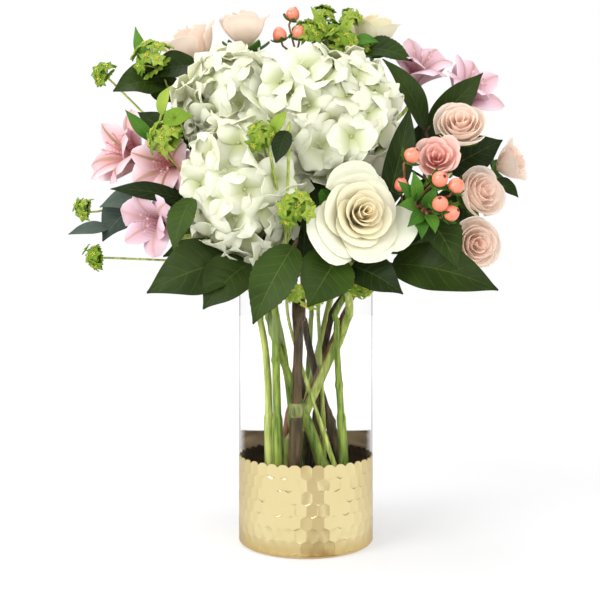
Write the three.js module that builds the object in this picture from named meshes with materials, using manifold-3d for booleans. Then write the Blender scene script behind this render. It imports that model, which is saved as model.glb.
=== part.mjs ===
// A floral table centrepiece: garden flowers and foliage in a glass cylinder vase with a gilt,
// hammered foot. Millimetres, +Z up, origin in the middle of the face that the vase stands on.
import * as THREE from 'three';
import { ConvexGeometry } from 'three/addons/geometries/ConvexGeometry.js';
import { mergeVertices } from 'three/addons/utils/BufferGeometryUtils.js';
import Module from 'manifold-3d';

const wasm = await Module();
wasm.setup();

// ---------------------------------------------------------------- driving dimensions
const GAP = 0.3; // air kept between neighbouring solids
const VASE = { radius: 50.8, height: 203, wall: 3.4, floor: 12, sides: 30 };
const GILT = {
  radius: 51.2, skin: 1.1, top: 67, rows: 6, peak: 6.3, shoulder: 4,
  dimple: 0.7, footRadius: 48, footPlate: 1.2, bevel: 3,
};
const WATER_LEVEL = 99;
const STEM_FOOT = 12.5; // height at which the cut ends of the stems stand
const HEART = new THREE.Vector3(0, 60, 225); // the point that the flowers turn away from
const BACK = 30; // leaves beyond this depth show their faces to the back
const PETAL = 0.8; // thickness of a petal
const LEAF = 0.9; // thickness of a leaf
const SLACK = 0.16; // how far a cut surface may be eased to lose its slivers
const ROUNDS = 120; // rounds in which the stems are pushed apart
const CLEAR = 1.6; // air wanted between two stems
const GOLDEN = Math.PI * (3 - Math.sqrt(5));
const TURN = 2 * Math.PI;

// ---------------------------------------------------------------- finishes
const finish = (color, roughness, metalness = 0, more = {}) =>
  new THREE.MeshStandardMaterial({ color, roughness, metalness, ...more });
const FINISH = {
  glass: finish(0xe8f0ee, 0.03, 0, { transparent: true, opacity: 0.25 }),
  gilt: finish(0xd9b566, 0.22, 1),
  water: finish(0xdfe9e4, 0.02, 0, { transparent: true, opacity: 0.3 }),
  white: finish(0xf3f1e4, 0.6),
  cream: finish(0xf6efd8, 0.55),
  blush: finish(0xf2cdbf, 0.55),
  pink: finish(0xe9b3bf, 0.5),
  coral: finish(0xe27a63, 0.3),
  lime: finish(0x8fb443, 0.5),
  stem: finish(0x7c9a4e, 0.5),
  leaf: finish(0x2f5a2c, 0.45),
  grey: finish(0x5c7a68, 0.6),
};
const LOOK = {
  hydrangea: FINISH.white, largeRose: FINISH.cream, rose: FINISH.blush, lily: FINISH.pink,
  bud: FINISH.pink,
};
const PLANT_LOOK = {
  hypericum_right: FINISH.coral, hypericum_top: FINISH.coral,
  bupleurum_left: FINISH.lime, bupleurum_front: FINISH.lime, bupleurum_top: FINISH.lime,
  salal_left: FINISH.leaf, salal_right: FINISH.leaf, salal_back: FINISH.leaf,
  eucalyptus: FINISH.grey,
};

// ---------------------------------------------------------------- flowers, by place and size
// at: the middle of the flower; size: its radius, or its three radii; face: the way it looks,
// where it doesn't simply turn away from the heart.
const at = (x, y, z) => new THREE.Vector3(x, y, z);
const FLOWERS = {
  hydrangea_low_head: { kind: 'hydrangea', at: at(-46, -58, 262), size: at(40, 40, 49) },
  hydrangea_top_head: { kind: 'hydrangea', at: at(-62, -30, 341), size: at(37, 35, 33) },
  hydrangea_right_head: { kind: 'hydrangea', at: at(22, -55, 312), size: at(49, 40, 43) },
  white_rose_bloom: { kind: 'largeRose', at: at(37, -92, 241), size: 34 },
  spray_rose_right_a: { kind: 'rose', at: at(108, -55, 307), size: 18.5, face: at(-0.1, -0.85, 0.5) },
  spray_rose_right_b: { kind: 'rose', at: at(88, -76, 280), size: 17, face: at(-0.1, -0.95, 0.25) },
  spray_rose_right_c: { kind: 'rose', at: at(123, -50, 260), size: 19, face: at(0.5, -0.8, 0.2) },
  spray_rose_right_d: { kind: 'rose', at: at(117, -62, 223), size: 18, face: at(0.25, -0.95, -0.1) },
  spray_rose_right_e: { kind: 'rose', at: at(157, 8, 289), size: 17, face: at(0.8, -0.45, 0.25) },
  spray_rose_top_a: { kind: 'rose', at: at(-46, -8, 387), size: 19, face: at(0, -0.25, 0.97) },
  spray_rose_top_b: { kind: 'rose', at: at(-88, 8, 378), size: 20, face: at(-0.45, -0.3, 0.85) },
  spray_rose_top_c: { kind: 'rose', at: at(54, 15, 394), size: 19, face: at(0.1, -0.3, 0.95) },
  spray_rose_back_a: { kind: 'rose', at: at(60, 90, 300), size: 18 },
  spray_rose_back_b: { kind: 'rose', at: at(-68, 88, 288), size: 18 },
  alstroemeria_left_a: { kind: 'lily', at: at(-141, -15, 296), size: 30, face: at(-0.75, -0.6, 0.3) },
  alstroemeria_left_b: { kind: 'lily', at: at(-101, -45, 281), size: 27, face: at(-0.3, -0.9, -0.1) },
  alstroemeria_left_c: { kind: 'lily', at: at(-109, -48, 238), size: 28, face: at(-0.5, -0.8, -0.2) },
  alstroemeria_left_d: { kind: 'bud', at: at(-88, -62, 213), size: 10, face: at(0.1, -0.3, -0.95) },
  alstroemeria_right_a: { kind: 'lily', at: at(90, 8, 369), size: 28, face: at(0.2, -0.6, 0.7) },
  alstroemeria_right_b: { kind: 'lily', at: at(131, 12, 352), size: 29, face: at(0.5, -0.6, 0.5) },
  alstroemeria_right_c: { kind: 'lily', at: at(0, 100, 320), size: 25 },
};

// ---------------------------------------------------------------- plants, by stem
// foot and mouth: where the stem stands on the vase floor and passes its rim, in plan.
// way: further points up to the top of the stem. heads: flowers carried by it.
const PLANTS = {
  hydrangea_low: {
    radius: 4.4, foot: [-11, -30], mouth: [-7, -31], way: [], heads: ['hydrangea_low_head'],
  },
  hydrangea_top: {
    radius: 3, foot: [-18, -26], mouth: [-27, -24], way: [at(-40, -2, 262)],
    heads: ['hydrangea_top_head'],
  },
  hydrangea_right: {
    radius: 3.2, foot: [40, 12], mouth: [-8, 16], way: [at(5, -4, 255)],
    heads: ['hydrangea_right_head'],
  },
  white_rose: {
    radius: 3.8, foot: [-38, 0], mouth: [37, -18], way: [], heads: ['white_rose_bloom'],
  },
  spray_rose_right: {
    radius: 2.4, foot: [31, -14], mouth: [30, -10], way: [at(66, -14, 242)],
    heads: [
      'spray_rose_right_a', 'spray_rose_right_b', 'spray_rose_right_c',
      'spray_rose_right_d', 'spray_rose_right_e',
    ],
  },
  spray_rose_top: {
    radius: 2.6, foot: [30, -22], mouth: [-31, -14], way: [at(-22, 12, 260), at(-16, 14, 322)],
    heads: ['spray_rose_top_a', 'spray_rose_top_b', 'spray_rose_top_c'],
  },
  spray_rose_back: {
    radius: 2.3, foot: [-6, 36], mouth: [6, 38], way: [at(2, 52, 245)],
    heads: ['spray_rose_back_a', 'spray_rose_back_b'],
  },
  alstroemeria_left: {
    radius: 2.5, foot: [-26, -18], mouth: [-36, -14], way: [at(-62, -18, 238)],
    heads: [
      'alstroemeria_left_a', 'alstroemeria_left_b', 'alstroemeria_left_c',
      'alstroemeria_left_d',
    ],
  },
  alstroemeria_right: {
    radius: 2.5, foot: [-20, 28], mouth: [24, 26], way: [at(38, 34, 262), at(44, 36, 296)],
    heads: ['alstroemeria_right_a', 'alstroemeria_right_b', 'alstroemeria_right_c'],
  },
  hypericum_right: { radius: 1.9, foot: [-37, 8], mouth: [43, -4], way: [at(66, -52, 240)] },
  hypericum_top: { radius: 1.8, foot: [-26, 20], mouth: [0, 8], way: [at(-8, 4, 290), at(-8, 2, 372)] },
  bupleurum_left: { radius: 1.4, foot: [24, 4], mouth: [-40, -2], way: [at(-72, -8, 262)] },
  bupleurum_front: { radius: 1.3, foot: [37, -20], mouth: [-22, -36], way: [at(-14, -62, 214)] },
  bupleurum_top: { radius: 1.4, foot: [16, 24], mouth: [8, 0], way: [at(8, 10, 300), at(18, 4, 366)] },
  salal_left: {
    radius: 2, foot: [2, -6], mouth: [-36, -26],
    way: [at(-60, -40, 216), at(-94, -22, 262), at(-100, -10, 334)],
  },
  salal_right: {
    radius: 2.3, foot: [4, 10], mouth: [25, 8], way: [at(56, -8, 222), at(90, -12, 276), at(91, -14, 306)],
  },
  salal_back: {
    radius: 2.2, foot: [10, 36], mouth: [-12, 32], way: [at(-8, 56, 262), at(2, 58, 340)],
  },
  eucalyptus: { radius: 1.6, foot: [4, 18], mouth: [-38, 12], way: [at(-84, 4, 238), at(-126, -18, 252)] },
};

// Leaves: the plant, the foot of the blade, its tip, its width, and how much it bows upward.
const LEAVES = [
  ['hydrangea_low', at(-11, -92, 219), at(-37, -104, 169), 32, 0.12],
  ['hydrangea_low', at(21, -72, 213), at(1, -88, 180), 34, 0.12],
  ['white_rose', at(31, -68, 207), at(63, -90, 189), 26, 0.12],
  ['salal_left', at(-46, -58, 211), at(-108, -76, 190), 39, 0.14],
  ['salal_left', at(-39, -64, 209), at(-69, -84, 179), 34, 0.14],
  ['salal_left', at(-89, -45, 256), at(-136, -60, 262), 13, 0.1],
  ['salal_left', at(-77, -80, 252), at(-88, -92, 217), 17, 0.1],
  ['salal_left', at(-111, -18, 347), at(-134, -38, 337), 22, 0.1],
  ['salal_left', at(-98, -8, 337), at(-116, -32, 356), 22, 0.1],
  ['salal_left', at(-117, -12, 360), at(-127, -22, 386), 10, 0.1],
  ['salal_left', at(-2, -44, 214), at(0, -52, 258), 30, 0.08],
  ['salal_left', at(-70, -20, 250), at(-112, -28, 276), 30, 0.1],
  ['salal_left', at(-64, -10, 300), at(-104, -8, 318), 26, 0.1],
  ['salal_right', at(60, -58, 213), at(127, -84, 197), 37, 0.14],
  ['salal_right', at(78, -58, 244), at(99, -92, 206), 29, 0.12],
  ['salal_right', at(104, -28, 280), at(141, -40, 299), 27, 0.1],
  ['salal_right', at(92, -22, 313), at(127, -40, 347), 21, 0.1],
  ['salal_right', at(88, -14, 313), at(58, -24, 363), 19, 0.1],
  ['salal_right', at(140, -12, 273), at(158, -20, 261), 13, 0.1],
  ['salal_right', at(66, -34, 226), at(92, -38, 276), 30, 0.08],
  ['salal_right', at(98, -20, 262), at(128, -24, 238), 30, 0.1],
  ['salal_right', at(80, -4, 290), at(112, 0, 320), 32, 0.1],
  ['salal_right', at(93, -60, 236), at(103, -72, 250), 10, 0.1],
  ['salal_right', at(62, -58, 266), at(71, -66, 314), 11, 0.05],
  ['spray_rose_top', at(46, 4, 374), at(77, -10, 368), 17, 0.1],
  ['alstroemeria_left', at(-108, -50, 297), at(-126, -60, 316), 9, 0.1],
  ['eucalyptus', at(-124, -18, 255), at(-149, -32, 228), 22, 0.08],
  ['eucalyptus', at(-145, -28, 237), at(-171, -40, 232), 10, 0.08],
  ['eucalyptus', at(-114, -26, 260), at(-149, -38, 252), 17, 0.08],
  ['salal_back', at(44, 40, 240), at(116, 62, 226), 38, 0.14],
  ['salal_back', at(-44, 40, 236), at(-118, 58, 222), 38, 0.14],
  ['salal_back', at(30, 62, 228), at(60, 108, 206), 36, 0.14],
  ['salal_back', at(-28, 64, 228), at(-62, 108, 210), 36, 0.14],
  ['salal_back', at(0, 82, 240), at(4, 128, 226), 34, 0.14],
  ['salal_back', at(-28, 82, 276), at(-66, 116, 250), 30, 0.12],
  ['salal_back', at(34, 62, 330), at(74, 84, 346), 28, 0.1],
  ['salal_back', at(-26, 70, 322), at(-66, 92, 346), 28, 0.1],
  ['salal_back', at(-20, 58, 356), at(-54, 62, 384), 24, 0.1],
].map(([plant, foot, tip, width, bow]) => ({ plant, foot, tip, width, bow }));

// Umbels of the hare's ear: the plant, the middle of the umbel, its radius, its umbellets.
const UMBELS = [
  ['bupleurum_left', at(-117, -35, 363), 15, 4],
  ['bupleurum_left', at(-152, -30, 352), 9, 3],
  ['bupleurum_left', at(-102, -70, 300), 14, 3],
  ['bupleurum_left', at(-168, -25, 252), 8, 3],
  ['bupleurum_left', at(-158, -35, 214), 9, 3],
  ['bupleurum_top', at(20, 0, 394), 18, 5],
  ['bupleurum_top', at(44, -6, 380), 9, 3],
  ['bupleurum_front', at(-31, -106, 293), 10, 3],
  ['bupleurum_front', at(-8, -106, 245), 11, 3],
  ['bupleurum_front', at(6, -68, 188), 10, 3],
  ['bupleurum_front', at(40, -66, 193), 8, 3],
];

// Berries of the St John's wort.
const BERRY = 5.6;
const BERRIES = [
  ['hypericum_right', at(69, -92, 279)],
  ['hypericum_right', at(64, -76, 262)],
  ['hypericum_right', at(87, -95, 263)],
  ['hypericum_right', at(98, -93, 259)],
  ['hypericum_right', at(87, -95, 247)],
  ['hypericum_right', at(95, -92, 241)],
  ['hypericum_top', at(-10, 0, 403)],
  ['hypericum_top', at(-20, -8, 385)],
  ['hypericum_top', at(-5, -10, 386)],
  ['hypericum_top', at(11, -4, 391)],
];

// ---------------------------------------------------------------- solids and meshes
function toIndexed(geometry, weld = 1e-4) {
  geometry.deleteAttribute('normal');
  geometry.deleteAttribute('uv');
  return mergeVertices(geometry, weld);
}

function toSolid(geometry, weld) {
  const merged = toIndexed(geometry, weld);
  const vertProperties = new Float32Array(merged.attributes.position.array);
  const triVerts = new Uint32Array(merged.index.array);
  return new wasm.Manifold(new wasm.Mesh({ numProp: 3, vertProperties, triVerts }));
}

function toGeometry(solid) {
  const mesh = solid.getMesh();
  const geometry = new THREE.BufferGeometry();
  geometry.setAttribute('position', new THREE.BufferAttribute(mesh.vertProperties, 3));
  geometry.setIndex(new THREE.BufferAttribute(mesh.triVerts, 1));
  geometry.computeVertexNormals();
  return geometry;
}

const join = (solids) => wasm.Manifold.union(solids);
const largest = (solid) => solid.decompose().sort((a, b) => b.volume() - a.volume())[0];

// The body that reaches lowest, without loose scraps and with its sealed hollows filled.
function rooted(solid) {
  const bodies = toSolid(toGeometry(solid.simplify(SLACK)), 1e-3).decompose();
  return bodies.filter((body) => body.volume() > 0)
    .sort((a, b) => a.boundingBox().min[2] - b.boundingBox().min[2])[0];
}

// The solid moved so that its own Z looks along `axis`, and its middle lies at `centre`.
function place(solid, centre, axis, size = 1, spin = 0) {
  const turn = new THREE.Quaternion().setFromUnitVectors(at(0, 0, 1), axis.clone().normalize());
  turn.multiply(new THREE.Quaternion().setFromAxisAngle(at(0, 0, 1), spin));
  const matrix = new THREE.Matrix4().compose(centre, turn, at(size, size, size));
  return solid.transform(matrix.elements);
}

// ---------------------------------------------------------------- blades and tubes
// A closed thin blade round the middle surface(s, t), where s runs from -1 to 1 across it and
// t through `stops` from its root to its tip. Both faces are split into triangles alike.
function blade(surface, across, stops, thickness) {
  const rim = across + 1;
  const along = stops.length - 1;
  const layer = rim * (along + 1);
  const points = [];
  for (const side of [0.5, -0.5]) {
    for (let j = 0; j <= along; j += 1) {
      for (let i = 0; i <= across; i += 1) {
        const s = (2 * i) / across - 1;
        const t = stops[j];
        points.push(surface(s, t).addScaledVector(normalOf(surface, s, t), side * thickness));
      }
    }
  }
  const faces = [];
  for (let j = 0; j < along; j += 1) {
    for (let i = 0; i < across; i += 1) {
      const a = j * rim + i;
      const [b, c, d] = [a + 1, a + rim + 1, a + rim];
      faces.push(a, b, c, a, c, d);
      faces.push(a + layer, c + layer, b + layer, a + layer, d + layer, c + layer);
    }
  }
  const loop = [];
  for (let i = 0; i < across; i += 1) loop.push(i);
  for (let j = 0; j < along; j += 1) loop.push(j * rim + across);
  for (let i = across; i > 0; i -= 1) loop.push(along * rim + i);
  for (let j = along; j > 0; j -= 1) loop.push(j * rim);
  loop.forEach((p, k) => {
    const q = loop[(k + 1) % loop.length];
    faces.push(q, p, p + layer, q, p + layer, q + layer);
  });
  return shell(points, faces);
}

function normalOf(surface, s, t) {
  const step = 0.01;
  const acrossWay = surface(Math.min(s + step, 1), t).sub(surface(Math.max(s - step, -1), t));
  const before = t < 0 ? Math.max(t - step, -1) : Math.max(t - step, 0);
  const alongWay = surface(s, Math.min(t + step, 1)).sub(surface(s, before));
  return acrossWay.cross(alongWay).normalize();
}

// A solid of revolution about Z; the profile is a list of [radius, height].
function lathe(profile, sides) {
  const points = profile.map(([r, z]) => new THREE.Vector2(r, z));
  return new THREE.LatheGeometry(points, sides).rotateX(Math.PI / 2).rotateZ(Math.PI / 2);
}

function shell(points, faces) {
  const geometry = new THREE.BufferGeometry();
  geometry.setFromPoints(points);
  geometry.setIndex(faces);
  return toSolid(geometry);
}

// A smooth curve that is stepped from knot to knot, and not by equal lengths.
class KnotCurve extends THREE.CatmullRomCurve3 {
  getPointAt(u) {
    return this.getPoint(u);
  }

  getTangentAt(u) {
    return this.getTangent(u);
  }
}

// A tube of few sides through the knots of its route.
function tube(knots, radius, sides) {
  const section = new THREE.Shape();
  for (let k = 0; k < sides; k += 1) {
    const angle = (TURN * k) / sides;
    const corner = [radius * Math.cos(angle), radius * Math.sin(angle)];
    if (k === 0) section.moveTo(...corner);
    else section.lineTo(...corner);
  }
  const extrudePath = new KnotCurve(knots, false, 'centripetal');
  const steps = knots.length - 1;
  return toSolid(new THREE.ExtrudeGeometry(section, { steps, extrudePath, bevelEnabled: false }));
}

// The fewest points of a route that stay within `slack` of all of it.
function knotsOf(points, slack) {
  const last = points.length - 1;
  const chord = new THREE.Line3(points[0], points[last]);
  const foot = new THREE.Vector3();
  let [worst, split] = [slack, 0];
  for (let k = 1; k < last; k += 1) {
    const far = chord.closestPointToPoint(points[k], true, foot).distanceTo(points[k]);
    if (far > worst) [worst, split] = [far, k];
  }
  if (split === 0) return [points[0], points[last]];
  return [...knotsOf(points.slice(0, split + 1), slack), ...knotsOf(points.slice(split), slack).slice(1)];
}

// ---------------------------------------------------------------- flowers, of radius 1
const polar = (radius, angle, z) => at(radius * Math.cos(angle), radius * Math.sin(angle), z);

// One cupped petal of a rose. open: how far its lip flares; tall: the height of its lip.
function rosePetal({ angle, half, root, reach, low, tall, open, roll = 0 }) {
  return (s, t) => {
    const spread = half * (0.45 + 0.75 * t - 0.28 * t * t);
    const lip = 1 - 0.16 * s * s * t;
    const radius = root + (reach - root) * Math.sin(0.5 * Math.PI * Math.min(1, 1.25 * t));
    const flare = open * t * t * t;
    const z = low + (tall - low) * t ** 1.2 * lip - roll * t ** 4;
    return polar(radius * (1 + 0.06 * s) + flare, angle + spread * s, z);
  };
}

// A rose's heart: a cup whose middle is folded in rings, each lip cut in three and turned.
function roseHeart(sides, folds) {
  const profile = [[0, -0.8], [0.57, -0.32], [0.54, 0.2]];
  for (let k = 0; k < folds; k += 1) {
    const reach = 0.54 * (1 - (k + 0.5) / (folds + 0.6));
    profile.push([reach, 0.02], [reach * 0.8, 0.36]);
  }
  profile.push([0, 0.1]);
  const geometry = lathe(profile, sides);
  const spots = geometry.attributes.position;
  for (let k = 0; k < spots.count; k += 1) {
    const [x, y, z] = [spots.getX(k), spots.getY(k), spots.getZ(k)];
    const reach = Math.hypot(x, y);
    const wave = Math.cos(3 * Math.atan2(y, x) + 14 * reach);
    if (z > 0.15) spots.setZ(k, z + 0.07 * wave);
  }
  return toSolid(geometry);
}

function smallRose(size) {
  const ring = {
    count: 4, half: 0.8, root: 0.2, reach: 0.76, low: -0.5, tall: 0.4, open: 0.17,
  };
  return join([roseHeart(5, 1), ...petalRing(ring, PETAL / size)]);
}

function largeRose(size) {
  const thick = (1.2 * PETAL) / size;
  const rings = [
    { count: 3, half: 1.1, root: 0.3, reach: 0.6, low: -0.4, tall: 0.46, open: 0.02 },
    { count: 4, half: 0.82, root: 0.22, reach: 0.74, low: -0.55, tall: 0.34, open: 0.14 },
    { count: 5, half: 0.62, root: 0.12, reach: 0.8, low: -0.62, tall: 0, open: 0.2, roll: 0.12 },
  ];
  const petals = rings.flatMap((ring, row) => petalRing({ ...ring, turn: 0.37 * row }, thick));
  return join([roseHeart(9, 2), ...petals]);
}

function petalRing({ count, turn = 0, ...form }, thickness) {
  return Array.from({ length: count }, (_, k) => {
    const angle = (TURN * (k + turn)) / count;
    return blade(rosePetal({ ...form, angle }), 2, [0, 0.5, 1], thickness);
  });
}

// A funnel of three broad outer petals and three narrow inner ones on a slim seed case.
const LILY = [
  { turn: 0, half: 0.34, foot: 0.11, reach: 0.95, rise: 0, across: 2 },
  { turn: 0.5, half: 0.19, foot: 0.03, reach: 0.74, rise: 0.1, across: 1 },
];

function lily(size) {
  const solids = [toSolid(lathe([[0, -1], [0.2, -0.8], [0.2, -0.5], [0, -0.4]], 4))];
  LILY.forEach(({ turn, half, foot, reach, rise, across }) => {
    for (let k = 0; k < 3; k += 1) {
      const angle = (TURN * (k + turn)) / 3;
      const side = polar(1, angle + Math.PI / 2, 0);
      solids.push(blade((s, t) => {
        const wide = half * Math.sin(Math.PI * (0.02 + 0.92 * t)) ** 0.8;
        const radius = foot + (reach - foot) * t ** 1.5;
        const z = -0.75 + 1.15 * t ** 0.75 - 0.3 * t ** 4 + rise * t - 0.25 * wide * s * s;
        return polar(radius, angle, z).addScaledVector(side, wide * s);
      }, across, [0, 0.5, 1], PETAL / size));
    }
  });
  return join(solids);
}

function bud() {
  return toSolid(lathe([[0, -0.9], [0.3, -0.6], [0.4, 0], [0.22, 0.6], [0, 0.95]], 6));
}

// A mop head: florets of four broad sepals, spread evenly by the golden angle all over it. Each
// floret's rim drops steeply to a deep valley, and one closed skin runs over them all.
const FLORET = {
  spacing: 41, lobes: 4, notch: 0.66, lift: 0.07, sunk: 0.06, valley: 0.78, skirt: 1.12,
};

function hydrangea(radii, spacing) {
  const count = Math.round((4 * Math.PI * radii.x * radii.z) / spacing ** 2);
  const spots = [];
  const add = (way, level) => spots.push({ way: way.normalize(), level });
  for (let k = 0; k < count; k += 1) {
    const height = 1 - (2 * k + 1) / count;
    const middle = polar(Math.sqrt(1 - height * height), GOLDEN * k, height);
    const turn = new THREE.Quaternion().setFromUnitVectors(at(0, 0, 1), middle);
    const onHead = (reach, angle) => polar(reach, angle, 1).applyQuaternion(turn);
    add(middle, 1 - FLORET.sunk);
    const reach = (0.53 * spacing) / Math.sqrt(radii.x * radii.z);
    const corners = 3 * FLORET.lobes;
    for (let c = 0; c < corners; c += 1) {
      const notch = c % 3 === 0;
      const angle = (TURN * (c + (notch ? 0 : 0.12 * (c % 3 === 1 ? 1 : -1)))) / corners + 1.7 * k;
      const far = reach * (notch ? FLORET.notch : 1);
      add(onHead(far, angle), notch ? 1 - FLORET.sunk : 1 + FLORET.lift * Math.sin(c + k));
      if (!notch) add(onHead(far * FLORET.skirt, angle), FLORET.valley);
    }
  }
  const skin = toIndexed(new ConvexGeometry(spots.map((spot) => spot.way)));
  const corners = skin.attributes.position;
  const corner = new THREE.Vector3();
  for (let k = 0; k < corners.count; k += 1) {
    corner.fromBufferAttribute(corners, k);
    const spot = spots.reduce((a, b) => (b.way.dot(corner) > a.way.dot(corner) ? b : a));
    corner.multiply(radii).multiplyScalar(spot.level);
    corners.setXYZ(k, corner.x, corner.y, corner.z);
  }
  return toSolid(skin);
}

const MAKE = {
  hydrangea: ({ at: middle, size }) => hydrangea(size, FLORET.spacing).translate(middle.toArray()),
  largeRose: (flower) => turned(largeRose(flower.size), flower),
  rose: (flower) => turned(smallRose(flower.size), flower),
  lily: (flower) => turned(lily(flower.size), flower),
  bud: (flower) => turned(bud(), flower),
};
const faceOf = ({ at: middle, face }) => (face ?? middle.clone().sub(HEART)).clone().normalize();
const turned = (solid, flower) => place(solid, flower.at, faceOf(flower), flower.size);
const reachOf = ({ size }) => (size.isVector3 ? (size.x + size.z) / 2 : size);

// Where two flowers press on each other, each is cut back to a plane half-way between them.
function trimmed(name, solid) {
  const own = FLOWERS[name];
  return Object.entries(FLOWERS).reduce((left, [other, flower]) => {
    const across = flower.at.clone().sub(own.at);
    const gap = across.length();
    const [mine, theirs] = [reachOf(own), reachOf(flower)];
    if (other === name || gap > 1.15 * (mine + theirs)) return left;
    const share = (gap + mine - theirs) / 2 - GAP;
    const outward = across.normalize();
    const offset = outward.dot(own.at) + share;
    return left.trimByPlane(outward.negate().toArray(), -offset);
  }, solid);
}

// ---------------------------------------------------------------- routes of the stems
// A route is a list of points for one tube. `root` ties its first point to a point of another.
function resample(points, spacing) {
  const curve = new THREE.CatmullRomCurve3(points, false, 'centripetal');
  return curve.getSpacedPoints(Math.max(2, Math.round(curve.getLength() / spacing)));
}

function stemRoute(name, { radius, foot, mouth, way, heads = [] }) {
  const points = [at(...foot, STEM_FOOT), at(...mouth, VASE.height), ...way];
  const goal = heads.length === 1 ? heads[0] : null;
  if (goal) points.push(...approach(FLOWERS[goal]));
  return { plant: name, radius, goal, points: resample(points, 12), nodes: new Set([0, 1]) };
}

// The last two points of a stem: it runs straight up into the back of its flower.
const approach = (flower) => backOf(flower.at, faceOf(flower), reachOf(flower));
const behind = (spot, size) => backOf(spot, spot.clone().sub(HEART).normalize(), size);
const backOf = (spot, axis, size) =>
  [1.5, 0.6].map((far) => spot.clone().addScaledVector(axis, -far * size));

function branchRoute(stem, end, radius) {
  const target = end[0];
  const rank = stem.points.map((point, index) => ({
    index, far: point.distanceTo(target) + 0.6 * Math.max(0, 205 - point.z) + 0.5 * point.z,
  }));
  const free = rank.filter(({ index }) => !stem.nodes.has(index));
  const { index } = (free.length > 0 ? free : rank).sort((a, b) => a.far - b.far)[0];
  stem.nodes.add(index);
  const start = stem.points[index];
  const way = stem.points[Math.min(index + 1, stem.points.length - 1)].clone()
    .sub(stem.points[Math.max(index - 1, 0)]).normalize();
  const lean = start.clone().addScaledVector(way, 0.25 * start.distanceTo(target));
  if (target.z < VASE.height + 14) overRim(lean, target);
  const points = resample([start, lean, ...end], 10);
  return { plant: stem.plant, radius, points, root: { stem, index } };
}

// A branch that leaves low passes over the rim of the vase first.
function overRim(lean, target) {
  const reach = VASE.radius / Math.hypot(target.x, target.y);
  lean.set(reach * target.x, reach * target.y, VASE.height + 9);
}

// Routes of different plants are pushed apart until each clears the others, the flowers of
// other plants and the glass. Both ends of a route keep their places.
function spread(routes) {
  for (let round = 0; round < ROUNDS; round += 1) {
    routes.forEach((route) => {
      route.push = route.points.map(() => new THREE.Vector3());
    });
    for (let i = 0; i < routes.length; i += 1) {
      for (let j = i + 1; j < routes.length; j += 1) {
        if (routes[i].plant !== routes[j].plant) repel(routes[i], routes[j]);
      }
      avoidFlowers(routes[i]);
    }
    routes.forEach(step);
  }
}

function repel(a, b) {
  const want = a.radius + b.radius + CLEAR;
  for (let i = 0; i + 1 < a.points.length; i += 1) {
    for (let j = 0; j + 1 < b.points.length; j += 1) {
      if (a.points[i].distanceToSquared(b.points[j]) > (30 + want) ** 2) continue;
      const { u, v, apart } = nearest(a.points[i], a.points[i + 1], b.points[j], b.points[j + 1]);
      const far = apart.length();
      if (far >= want) continue;
      const shove = apart.multiplyScalar((0.5 * (want - far)) / Math.max(far, 1e-6));
      a.push[i].addScaledVector(shove, 1 - u);
      a.push[i + 1].addScaledVector(shove, u);
      b.push[j].addScaledVector(shove, v - 1);
      b.push[j + 1].addScaledVector(shove, -v);
    }
  }
}

// The nearest places on two straight pieces p-q and r-w, and the way from the second to the first.
function nearest(p, q, r, w) {
  const d1 = q.clone().sub(p);
  const d2 = w.clone().sub(r);
  const offset = p.clone().sub(r);
  const [a, e, f] = [d1.dot(d1), d2.dot(d2), d2.dot(offset)];
  const [c, b] = [d1.dot(offset), d1.dot(d2)];
  const bend = a * e - b * b;
  const clamp = (value) => Math.min(1, Math.max(0, value));
  let u = bend > 1e-9 ? clamp((b * f - c * e) / bend) : 0;
  const v = clamp((b * u + f) / e);
  u = clamp((b * v - c) / a);
  const apart = offset.addScaledVector(d1, u).addScaledVector(d2, -v);
  return { u, v, apart };
}

function avoidFlowers(route) {
  Object.entries(FLOWERS).forEach(([name, flower]) => {
    if (name === route.goal) return;
    const reach = reachOf(flower) + route.radius + CLEAR;
    route.points.forEach((point, k) => {
      const away = point.clone().sub(flower.at);
      const far = away.length();
      if (far < reach) route.push[k].addScaledVector(away, (0.5 * (reach - far)) / far);
    });
  });
}

function step(route) {
  const { points, push, radius, root } = route;
  const last = points.length - 1;
  const smooth = push.map((own, k) => {
    const before = push[Math.max(k - 1, 0)];
    const after = push[Math.min(k + 1, last)];
    return own.clone().multiplyScalar(0.6).addScaledVector(before, 0.3).addScaledVector(after, 0.3);
  });
  for (let k = 1; k < last; k += 1) {
    points[k].add(smooth[k]);
    const middle = points[k - 1].clone().add(points[k + 1]).multiplyScalar(0.5);
    points[k].lerp(middle, 0.08);
    keepFromGlass(points[k], radius, Boolean(root));
  }
  if (root) points[0].copy(root.stem.points[root.index]);
}

// A stem is held inside the glass; a branch may hang outside it, but not through its rim.
function keepFromGlass(point, radius, isBranch) {
  const low = VASE.height + radius + 3;
  const room = VASE.radius - VASE.wall - radius - 1.2;
  const wide = Math.hypot(point.x, point.y);
  if (point.z > low || wide < room) return;
  if (isBranch && wide > VASE.radius + radius + 6) return;
  if (isBranch) {
    point.z += 0.3 * (low - point.z);
    return;
  }
  point.x *= room / wide;
  point.y *= room / wide;
}

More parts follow.
